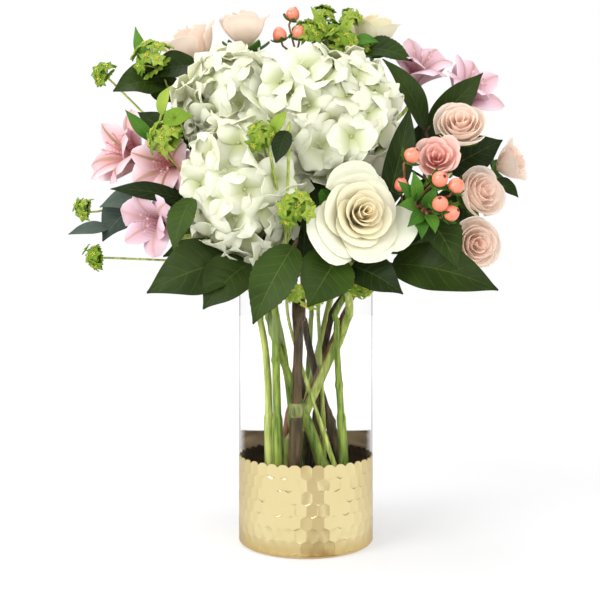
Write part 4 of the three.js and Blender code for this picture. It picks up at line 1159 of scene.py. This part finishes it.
# %% The spray roses
globe = rose("globe_rose", 16, 6, half=(1.9, 1.25), reach=(0.08, 1.08), lean=(0.0, -0.14),
             roll=(0.04, 0.15), tall=0.26, heart=0.5, wave=0.08, pace=0.95)
opened = rose("open_rose", 17, 7, half=(1.4, 0.8), reach=(0.08, 0.86), lean=(0.0, 0.0),
              roll=(0.05, 0.2), tall=0.2, heart=0.42, wave=0.14, pace=0.9)
budding = rose("bud_rose", 10, 8, half=(1.9, 1.15), reach=(0.1, 0.84), lean=(-0.02, 0.04),
               roll=(0.03, 0.22), tall=0.66, heart=0.8, wave=0.07)
PALE_ROSES = ("spray_rose_top_c",)
ROSES = {"globe_rose": globe, "open_rose": opened, "bud_rose": budding}
for kind, master in ROSES.items():
    for turn, node in enumerate(of_kind(kind)):
        centre, face, size = place_of(node)
        petals = gather(node + "_petals", [stamp(master, posed(centre, face, size, 1.9 * turn))])
        look = PETALS["rosy" if kind == "open_rose" else "ivory" if node in PALE_ROSES else "blush"]
        settle(petals, look, "blush_petal", node)
discard(*ROSES.values())

# %% [markdown]
# ## The alstroemerias
#
# An alstroemeria is a funnel of six tepals: three broad ones outside, and three narrower, striped
# ones between them, with a bunch of curved stamens in its throat.


# %% Tepals, stamens and flowers
def tepal_form(angle, half, foot, reach, rise, dice):
    side = Vector((-math.sin(angle), math.cos(angle), 0))
    droop, phase = dice.uniform(-0.08, 0.1), dice.uniform(0, TURN)

    def form(s, t):
        wide = half * math.sin(math.pi * (0.03 + 0.92 * t**1.3)) ** 0.7
        radius = foot + (reach - foot) * t**1.5
        height = -0.75 + 1.15 * t**0.75 - (0.3 + droop) * t**4 + rise * t - 0.25 * wide * s * s
        height += 0.03 * math.sin(7 * t + phase) * s * t + 0.05 * (1 - abs(s)) ** 3 * t
        return Vector((radius * math.cos(angle), radius * math.sin(angle), height)) + side * wide * s

    return form


TEPALS = (  # turn, half width, foot, reach, rise, and 1 for the inner, striped ring
    (0, 0.54, 0.11, 1.0, 0.0, 0),
    (0.5, 0.36, 0.04, 0.86, 0.14, 1),
)
SALMON = ("alstroemeria_left_a", "alstroemeria_left_b")


def lily(seed):
    dice = random.Random(seed)
    parts = []
    for turn, half, foot, reach, rise, inner in TEPALS:
        for k in range(3):
            angle = TURN * (k + turn) / 3 + dice.uniform(-0.1, 0.1)
            form = tepal_form(angle, half, foot, reach * dice.uniform(0.94, 1.02), rise, dice)
            parts.append(mark(sheet("tepal", 7, 11, form, 0.018), depth=float(inner), tint=dice.random()))
    return gather("lily", parts)


def stamens(seed):
    """Six curved filaments, and the routes' ends where their anthers sit."""
    dice = random.Random(seed)
    routes = []
    for k in range(6):
        angle = TURN * k / 6 + dice.uniform(-0.2, 0.2)
        way = Vector((math.cos(angle), math.sin(angle), 0))
        reach = dice.uniform(0.1, 0.24)
        points = [
            Vector((0, 0, -0.7)), way * 0.05 + UP * -0.3, way * reach + UP * 0.1,
            way * (reach + 0.08) + UP * 0.22,
        ]
        thin = [(point, 0.014) for point in smooth_path(points, 0.12)]
        tip = points[-1] + Vector((0, 0, 0.05))
        routes.append([*thin, (points[-1] + UP * 0.01, 0.035), (tip, 0.03), (tip + UP * 0.03, 0.008)])
    return rods("stamens", routes, 1)


lilies = [lily(21), lily(22)]
filaments = mark(stamens(23), depth=0.0, tint=0.3)
for turn, node in enumerate(of_kind("lily")):
    centre, face, size = place_of(node)
    pose = posed(centre, face, size, 0.9 * turn + 0.4)
    parts = [stamp(lilies[turn % 2], pose), stamp(filaments, pose)]
    look = PETALS["salmon" if node in SALMON else "lilac"]
    settle(gather(node + "_tepals", parts), look, "pink_tepal", node)
discard(*lilies)

# %% The closed bud below them
bud_parts = []
centre, face, size = place_of("alstroemeria_left_d")
for k in range(6):
    angle = TURN * k / 6

    def closed(s, t, angle=angle):
        radius = 0.42 * math.sin(math.pi * (0.04 + 0.9 * t**0.8)) ** 0.8 * (1 + 0.08 * (1 - abs(s)))
        turned = angle + 0.62 * s
        return Vector((radius * math.cos(turned), radius * math.sin(turned), -0.9 + 1.8 * t))

    bud_parts.append(mark(sheet("tepal", 4, 8, closed, 0.03), depth=0.0, tint=0.1 * k))
closed_bud = gather("bud", bud_parts)
closed_bud.data.transform(posed(centre, face, size))
settle(gather("alstroemeria_left_d_bud", [closed_bud]), PETALS["lilac"], "pink_tepal", "alstroemeria_left_d")
discard(filaments)

# %% [markdown]
# ## The stems
#
# Inside the glass each stem follows its solid. Above the rim it runs through its own points to
# its flower, and side stalks leave it for the other flowers, the leaves and the berries. The
# stems differ as they do in a real vase: bright green alstroemeria, woody hydrangea and shrub
# stems with swollen nodes, and a thin red-brown one. Water magnifies what stands in it, and the
# clear film that stands for it here doesn't, so the stems are drawn thicker below its surface.
# Each starts thicker than its solid and tapers, so higher up some are thinner than theirs.

# %% The plants
PLANTS = {  # radius, finish, swollen nodes (heights), and the points above the rim
    "hydrangea_low": (4.7, "bark", (105, 172), []),
    "hydrangea_top": (3.9, "green", (140,), [(-40, -2, 262)]),
    "hydrangea_right": (3.7, "bark", (88,), [(5, -4, 255)]),
    "white_rose": (4.5, "pale", (75, 150), []),
    "spray_rose_right": (3.4, "green", (120,), [(66, -14, 242)]),
    "spray_rose_top": (3.6, "green", (60, 160), [(-22, 12, 260), (-16, 14, 322)]),
    "spray_rose_back": (3.0, "green", (), [(2, 52, 245)]),
    "alstroemeria_left": (3.7, "pale", (), [(-62, -18, 238)]),
    "alstroemeria_right": (3.5, "pale", (), [(38, 34, 262), (44, 36, 296)]),
    "hypericum_right": (2.5, "russet", (60, 96, 134, 168), [(66, -52, 240)]),
    "hypericum_top": (2.3, "russet", (80, 130), [(-8, 4, 290), (-8, 2, 372)]),
    "bupleurum_left": (1.9, "pale", (), [(-72, -8, 262)]),
    "bupleurum_front": (1.8, "pale", (), [(-14, -62, 214)]),
    "bupleurum_top": (1.9, "pale", (), [(8, 10, 300), (18, 4, 366)]),
    "salal_left": (3.0, "green", (90,), [(-60, -40, 216), (-94, -22, 262), (-100, -10, 334)]),
    "salal_right": (3.3, "bark", (70, 128), [(56, -8, 222), (90, -12, 276), (91, -14, 306)]),
    "salal_back": (3.0, "bark", (100,), [(-8, 56, 262), (2, 58, 340)]),
    "eucalyptus": (2.2, "green", (), [(-84, 4, 238), (-126, -18, 252)]),
}
HEADS = {plant: [name for name in FLOWERS if name.startswith(plant)] for plant in PLANTS}
ROOM = VASE_RADIUS - 2 * MM
MAGNIFIED = 1.3  # how much thicker a stem looks under water
TAPER = 0.55  # what is left of a stem's radius at its upper end
NODE_LENGTH = 2.6  # half the length of a swelling, in millimetres


def swelling(spot, nodes):
    """How much a stem swells at this spot: 1 at a node, and 0 away from all."""
    return sum(math.exp(-(((spot.z / MM - node) / NODE_LENGTH) ** 2)) for node in nodes)


paths, routes_of = {}, {}
for plant, (radius, _, swellings, way) in PLANTS.items():
    inside = spine(plant + "_stem", [height * MM for height in (15, *range(24, 192, 12))], ROOM)
    points = [inside[0].lerp(inside[1], -0.25), *inside, *(mm(*spot) for spot in way)]
    if len(HEADS[plant]) == 1:
        centre, face, reach = place_of(HEADS[plant][0])
        points += [centre - face * 1.5 * reach, centre - face * 0.5 * reach]
    paths[plant] = smooth_path(points)
    rise = [swelling(spot, swellings) for spot in paths[plant]]
    thin = np.linspace(1.0, TAPER, len(rise))
    seen = [MAGNIFIED if spot.z < WATER_HIGH.z else 1.0 for spot in paths[plant]]
    routes_of[plant] = [[
        (spot, radius * MM * (0.94 + 0.28 * swell) * slim * larger)
        for spot, swell, slim, larger in zip(paths[plant], rise, thin, seen)
    ]]
print("stems:", len(paths))


# %% The pale ring at a node of the thick woody stem
RING = ((-5, 4.6), (-2, 5.7), (2, 5.9), (5, 4.8))  # millimetres from the node, and radius there
node_height = PLANTS["hydrangea_low"][2][0] * MM
ring = min(paths["hydrangea_low"], key=lambda spot: abs(spot.z - node_height))
knuckle = [(ring + UP * step * MM, thick * MM) for step, thick in RING]
settle(rods("hydrangea_low_node", [knuckle]), STALKS["olive"], "green_stem")


# %% Side stalks
CLEAR_OF_RIM = 205  # side stalks rather leave their stem above this height, in millimetres
HANGS_BELOW = 217  # a stalk that ends lower than this runs out over the rim
OVER_RIM = 212  # at this height


def fork(path, target):
    """The point of a stem from which a stalk to the target leaves, and the stem's way there."""
    def cost(spot):
        return (spot - target).length + 0.6 * max(0, CLEAR_OF_RIM * MM - spot.z) + 0.5 * spot.z

    index = min(range(len(path) - 1), key=lambda k: cost(path[k]))
    return path[index], (path[index + 1] - path[index]).normalized()


def side_stalk(plant, ends, radius, last=None):
    """Adds a stalk that leaves the plant's stem and runs through the points to its end."""
    start, way = fork(paths[plant], ends[0])
    lean = start + way * 0.25 * (ends[0] - start).length
    if ends[0].z < HANGS_BELOW * MM:
        outward = Vector((ends[0].x, ends[0].y, 0)).normalized()
        lean = outward * (VASE_RADIUS + MM) + UP * OVER_RIM * MM
    path = smooth_path([start, lean, *ends], 5 * MM)
    radii = np.linspace(radius, last or radius, len(path))
    routes_of[plant].append(list(zip(path, radii)))


for plant, heads in HEADS.items():
    for name in heads if len(heads) > 1 else []:
        centre, face, reach = place_of(name)
        ends = [centre - face * 1.5 * reach, centre - face * 0.45 * reach]
        side_stalk(plant, ends, 0.45 * PLANTS[plant][0] * MM)

# %% [markdown]
# ## The leaves
#
# Every leaf is one pressed sheet: folded along its rib, bowed along its length, quilted between
# its side veins and waved along its edge. A hydrangea's leaf is toothed and deeply veined, and a
# lemon leaf is broad, smooth and dark. Most leaves stand where the solids have theirs. Six are
# moved or have another width, and 17 of them, mostly small ones, are only here, as is the greenery
# in the middle.

# %% Where each leaf grows: plant, foot, tip, width, bow, kind
LEAVES = [
    ("hydrangea_low", (-9, -92, 219), (-35, -104, 169), 27, 0.12, "ribbed"),
    ("hydrangea_low", (21, -72, 213), (1, -88, 180), 34, 0.12, "ribbed"),
    ("white_rose", (31, -68, 207), (63, -90, 189), 26, 0.12, "dark"),
    ("white_rose", (6, -46, 226), (12, -54, 280), 26, 0.08, "dark"),
    ("salal_left", (-46, -58, 211), (-108, -76, 190), 39, 0.14, "dark"),
    ("salal_left", (-39, -64, 209), (-69, -84, 179), 34, 0.14, "dark"),
    ("salal_left", (-89, -45, 256), (-136, -60, 262), 13, 0.1, "dark"),
    ("salal_left", (-77, -80, 252), (-88, -92, 217), 17, 0.1, "ribbed"),
    ("salal_left", (-104, -18, 345), (-139, -38, 336), 29, 0.1, "dark"),
    ("salal_left", (-80, -20, 358), (-117, -32, 347), 23, 0.1, "dark"),
    ("salal_left", (-98, -8, 337), (-116, -32, 356), 22, 0.1, "dark"),
    ("salal_left", (-117, -12, 360), (-127, -22, 386), 10, 0.1, "fresh"),
    ("salal_left", (-2, -44, 214), (0, -52, 258), 30, 0.08, "dark"),
    ("salal_left", (-92, -30, 300), (-121, -40, 319), 20, 0.1, "dark"),
    ("salal_left", (-70, -20, 250), (-112, -28, 276), 30, 0.1, "dark"),
    ("salal_left", (-64, -10, 300), (-104, -8, 318), 26, 0.1, "dark"),
    ("salal_right", (60, -58, 209), (128, -82, 192), 34, 0.12, "dark"),
    ("salal_right", (78, -58, 244), (99, -92, 206), 29, 0.12, "ribbed"),
    ("salal_right", (104, -28, 280), (141, -40, 299), 27, 0.1, "dark"),
    ("salal_right", (92, -22, 313), (127, -40, 347), 21, 0.1, "dark"),
    ("salal_right", (88, -14, 313), (58, -24, 363), 19, 0.1, "dark"),
    ("salal_right", (140, -12, 273), (158, -20, 261), 13, 0.1, "dark"),
    ("salal_right", (66, -34, 226), (92, -38, 276), 30, 0.08, "dark"),
    ("salal_right", (98, -20, 262), (128, -24, 238), 30, 0.1, "dark"),
    ("salal_right", (80, -4, 290), (112, 0, 320), 32, 0.1, "dark"),
    ("salal_right", (93, -60, 236), (103, -72, 250), 10, 0.1, "fresh"),
    ("salal_right", (54, -74, 248), (70, -79, 314), 19, 0.05, "dark"),
    ("spray_rose_top", (42, 2, 377), (80, -12, 365), 20, 0.1, "ribbed"),
    ("alstroemeria_left", (-108, -50, 297), (-126, -60, 316), 9, 0.1, "fresh"),
    ("bupleurum_front", (-13, -106, 292), (-20, -111, 271), 12, 0.08, "dark"),
    ("bupleurum_front", (-22, -104, 292), (-13, -110, 304), 8, 0.1, "lime"),
    ("bupleurum_left", (-98, -68, 306), (-77, -74, 309), 13, 0.1, "lime"),
    ("bupleurum_left", (-100, -64, 312), (-94, -70, 330), 9, 0.1, "lime"),
    ("bupleurum_top", (14, -6, 386), (4, -12, 405), 8, 0.1, "lime"),
    ("bupleurum_top", (26, -8, 384), (36, -14, 402), 8, 0.1, "lime"),
    ("bupleurum_top", (34, -10, 378), (54, -20, 376), 10, 0.1, "fresh"),
    ("hypericum_right", (71, -84, 248), (60, -94, 262), 9, 0.15, "fresh"),
    ("hypericum_right", (72, -84, 250), (70, -93, 268), 9, 0.15, "fresh"),
    ("hypericum_right", (72, -85, 246), (60, -96, 246), 9, 0.15, "fresh"),
    ("hypericum_right", (78, -86, 246), (84, -96, 258), 9, 0.15, "fresh"),
    ("hypericum_right", (76, -86, 242), (66, -96, 232), 9, 0.15, "fresh"),
    ("hypericum_right", (80, -86, 240), (84, -96, 228), 9, 0.15, "fresh"),
    ("hypericum_right", (74, -86, 238), (75, -96, 224), 9, 0.15, "fresh"),
    ("eucalyptus", (-122, -18, 258), (-149, -32, 228), 30, 0.08, "grey"),
    ("eucalyptus", (-145, -28, 237), (-171, -40, 232), 10, 0.08, "grey"),
    ("eucalyptus", (-114, -26, 260), (-149, -38, 252), 17, 0.08, "grey"),
    ("salal_back", (44, 40, 240), (116, 62, 226), 38, 0.14, "dark"),
    ("salal_back", (-44, 40, 236), (-118, 58, 222), 38, 0.14, "dark"),
    ("salal_back", (30, 62, 228), (60, 108, 206), 36, 0.14, "dark"),
    ("salal_back", (-28, 64, 228), (-62, 108, 210), 36, 0.14, "dark"),
    ("salal_back", (0, 82, 240), (4, 128, 226), 34, 0.14, "dark"),
    ("salal_back", (-28, 82, 276), (-66, 116, 250), 30, 0.12, "dark"),
    ("salal_back", (34, 62, 330), (74, 84, 346), 28, 0.1, "dark"),
    ("salal_back", (-26, 70, 322), (-66, 92, 346), 28, 0.1, "dark"),
    ("salal_back", (-20, 58, 356), (-54, 62, 384), 24, 0.1, "dark"),
]


# %% Greenery in the middle, behind the flowers
for k in range(20):
    angle = GOLDEN * k
    out = Vector((math.cos(angle), 0.7 * math.sin(angle), 0.16 * math.cos(2.3 * k)))
    foot = Vector((0, 40, 224 + 5.4 * k)) + out * 20
    tip = foot + out * (46 + 9 * math.sin(1.7 * k))
    LEAVES.append(("salal_back", tuple(foot), tuple(tip), 27 + 5 * math.cos(3.1 * k), 0.12, "dark"))


# %% Pressing a leaf
def leaf_form(foot, tip, width, bow, pairs, teeth, dice):
    along = tip - foot
    length = along.length
    along.normalize()
    up = Vector((foot.x + tip.x, foot.y + tip.y, 0)).normalized()
    up += Vector((0, -2, 0.6)) if foot.y < 30 * MM else Vector((0, 1.2, 0.6))
    up = (up - along * up.dot(along)).normalized()
    side = along.cross(up)
    phase, curl = dice.uniform(0, TURN), dice.uniform(0.8, 1.5)

    def form(s, t):
        half = 0.52 * width * math.sin(math.pi * (0.02 + 0.96 * t**0.8)) ** (0.6 + 0.7 * t * t)
        half *= 1 + teeth * abs(math.sin(14 * math.pi * t)) * s * s
        quilt = math.cos((t * pairs - abs(s) * 1.6) * TURN) * min(1.0, 4 * abs(s)) * (1 - abs(s))
        lift = bow * length * 4 * t * (1 - t) + 0.28 * half * abs(s) ** 1.3 - 0.016 * width * quilt
        lift += 0.045 * width * math.sin(9 * t * curl + 2 * s + phase) * s * s * math.sin(math.pi * t)
        lift -= 0.05 * length * t**3
        return foot + along * length * t + side * half * s + up * lift

    return form


LEAF_SEED = 100
BROAD = 15  # a leaf wider than this gets the finer grid
blades = {}
for number, (plant, foot, tip, width, bow, kind) in enumerate(LEAVES):
    dice = random.Random(LEAF_SEED + number)
    foot, tip = mm(*foot), mm(*tip)
    pairs, teeth = (8, 0.09) if kind == "ribbed" else (7, 0.0)
    across, along = (12, 34) if width > BROAD else (8, 14)
    form = leaf_form(foot, tip, width * MM, bow, pairs, teeth, dice)
    leaf = sheet("leaf", across, along, form, 0.5 * MM)
    blades.setdefault((plant, kind), []).append(mark(leaf, tint=dice.random()))
    side_stalk(plant, [foot - (tip - foot).normalized() * 6 * MM, foot], 1.0 * MM)
print("leaves:", len(LEAVES))

# %% [markdown]
# ## Berries and hare's ear
#
# St John's wort ends in glossy egg-shaped berries, each with a dark tip and a frill of five green
# sepals. Hare's ear carries umbels: thin rays spread from a hub, and each bears a star of pointed
# lime bracts round a knot of tiny yellow flowers. Five of the umbels have no solid.

# %% The berry and its sepals
BERRY = 5.6 * MM
BERRIES = {
    "hypericum_right": [
        (69, -92, 279), (64, -76, 262), (87, -95, 263), (98, -93, 259), (87, -95, 247), (95, -92, 241),
    ],
    "hypericum_top": [(-10, 0, 403), (-20, -8, 385), (-5, -10, 386), (11, -4, 391)],
}
bpy.ops.object.select_all(action="DESELECT")
bpy.ops.mesh.primitive_uv_sphere_add(segments=20, ring_count=14, radius=1)
egg = bpy.context.object
egg.name = "egg"
for vertex in egg.data.vertices:
    height = vertex.co.z
    plump = 0.95 - 0.1 * height - 0.06 * height**2
    tip = 0.06 * max(0, height) ** 12
    vertex.co = Vector((vertex.co.x * plump, vertex.co.y * plump, height * 0.98 + tip))
soften(egg)
mark(egg, depth=0.0, tint=0.5)
layer = egg.data.attributes["depth"].data
for vertex, level in zip(egg.data.vertices, layer):
    level.value = (vertex.co.z + 1) / 2


def frill(s, t):
    half = 0.5 * math.sin(math.pi * (0.08 + 0.88 * t**0.8)) ** 0.8
    return Vector((0.15 + 1.3 * t, half * s, -0.9 + 0.2 * t + 0.4 * t * t - 0.1 * s * s))


calyx_leaf = sheet("calyx_leaf", 4, 5, frill, 0.05)
calyx = gather("calyx", [
    stamp(calyx_leaf, Matrix.Rotation(TURN * k / 5, 4, "Z"), tint=0.2 * k, depth=0.0) for k in range(5)
])

greens = {}
for plant, spots in BERRIES.items():
    fruit = []
    for k, spot in enumerate(spots):
        centre = mm(*spot)
        aside = Vector((math.cos(2.4 * k), -0.5, 1.1 + math.sin(2.4 * k)))
        face = ((centre - HEART).normalized() + aside * 0.8).normalized()
        fruit.append(stamp(egg, posed(centre, face, BERRY, k)))
        greens.setdefault(plant, []).append(stamp(calyx, posed(centre, face, BERRY, k)))
        side_stalk(plant, [centre - face * 1.5 * BERRY, centre - face * 0.7 * BERRY], 0.8 * MM)
    settle(gather(plant + "_berries", fruit), CORAL, "coral_berry", plant + "_stem")

# %% Every rose has a calyx too
for name, (kind, *_) in FLOWERS.items():
    if "rose" in kind:
        plant = name.rsplit("_", 1)[0]
        centre, face, size = place_of(name)
        cup = centre - face * 0.12 * size
        greens.setdefault(plant, []).append(stamp(calyx, posed(cup, face, 0.62 * size, 0.3)))
discard(calyx, calyx_leaf, egg)

# %% The star of bracts and its knot of florets
UMBELS = {  # middle, radius and fullness of each umbel
    "bupleurum_left": [
        ((-117, -35, 363), 15, 4), ((-152, -30, 352), 9, 3), ((-102, -70, 300), 14, 3),
        ((-168, -25, 252), 8, 3), ((-158, -35, 214), 9, 3),
    ],
    "bupleurum_top": [
        ((20, 0, 394), 18, 5), ((44, -6, 380), 9, 3), ((3, -10, 392), 12, 4), ((30, -16, 384), 13, 4),
        ((14, -6, 404), 8, 3), ((34, -8, 401), 8, 3),
    ],
    "bupleurum_front": [
        ((-31, -106, 293), 10, 3), ((-8, -106, 245), 11, 3), ((6, -68, 188), 10, 3), ((40, -66, 193), 8, 3),
        ((-9, -92, 187), 6, 2),
    ],
}


def bract(s, t):
    half = 0.34 * math.sin(math.pi * (0.06 + 0.92 * t**0.75)) ** 1.2
    return Vector((0.06 + 0.94 * t, half * s, 0.25 * t - 0.22 * t**3 - 0.12 * s * s))


one = sheet("bract", 3, 5, bract, 0.05)
star = gather("star", [
    stamp(one, Matrix.Rotation(TURN * k / 5, 4, "Z"), tint=0.15 * k, depth=0.0) for k in range(5)
])
discard(one)
bpy.ops.mesh.primitive_ico_sphere_add(subdivisions=1, radius=0.075)
seed_head = bpy.context.object
knot = gather("knot", [
    stamp(seed_head, Matrix.Translation((0.3 * math.sqrt(k / 9) * math.cos(GOLDEN * k),
                                         0.3 * math.sqrt(k / 9) * math.sin(GOLDEN * k), 0.22 - 0.012 * k)))
    for k in range(9)
])
discard(seed_head)

# %% The umbels
for plant, umbels in UMBELS.items():
    stars, knots = [], []
    dice = random.Random(plant)
    for middle, radius, count in umbels:
        centre = mm(*middle)
        axis = (centre - HEART).normalized()
        reach = radius * MM
        hub = centre - axis * 0.9 * reach
        turn = UP.rotation_difference(axis)
        side_stalk(plant, [hub - axis * 7.5 * MM, hub], 0.8 * MM)
        number = 2 * count + 3
        for k in range(number):
            level = 1 - 0.6 * (k + 0.5) / number
            out = math.sqrt(1 - level**2)
            way = turn @ Vector((out * math.cos(GOLDEN * k), out * math.sin(GOLDEN * k), level))
            way *= reach * dice.uniform(0.65, 1.3)
            size = (0.34 * radius + 2.6) * dice.uniform(0.75, 1.25) * MM
            pose = posed(hub + way, way.normalized(), size, dice.uniform(0, TURN))
            stars.append(stamp(star, pose, tint=dice.random()))
            knots.append(stamp(knot, pose))
            bend = hub + way * 0.5 + axis * MM
            routes_of[plant].append([(hub, 0.7 * MM), (bend, 0.4 * MM), (hub + way, 0.45 * MM)])
        for k in range(3):
            pose = posed(hub, axis, 0.7 * reach + 2 * MM, TURN * k / 3)
            stars.append(stamp(star, pose, tint=dice.random()))
    settle(gather(plant + "_bracts", stars), LEAVES_LOOK["lime"], "lime_bract", plant + "_stem")
    settle(gather(plant + "_knots", knots), POLLEN, "lime_bract", plant + "_stem")
discard(star, knot)

# %% The leaves and the stalks, now that every stalk has its route
SLOTS = {"dark": "dark_leaf", "ribbed": "dark_leaf", "fresh": "green_stem", "grey": "grey_leaf",
         "lime": "lime_bract"}
for (plant, kind), leaves in blades.items():
    settle(gather(f"{plant}_{kind}_leaves", leaves), LEAVES_LOOK[kind], SLOTS[kind], plant + "_stem")
for plant, parts in greens.items():
    settle(gather(plant + "_sepals", parts), LEAVES_LOOK["fresh"], "green_stem")
for plant, routes in routes_of.items():
    stalks = rods(plant + "_stalks", routes)
    settle(stalks, STALKS[PLANTS[plant][1]], "green_stem", plant + "_stem")
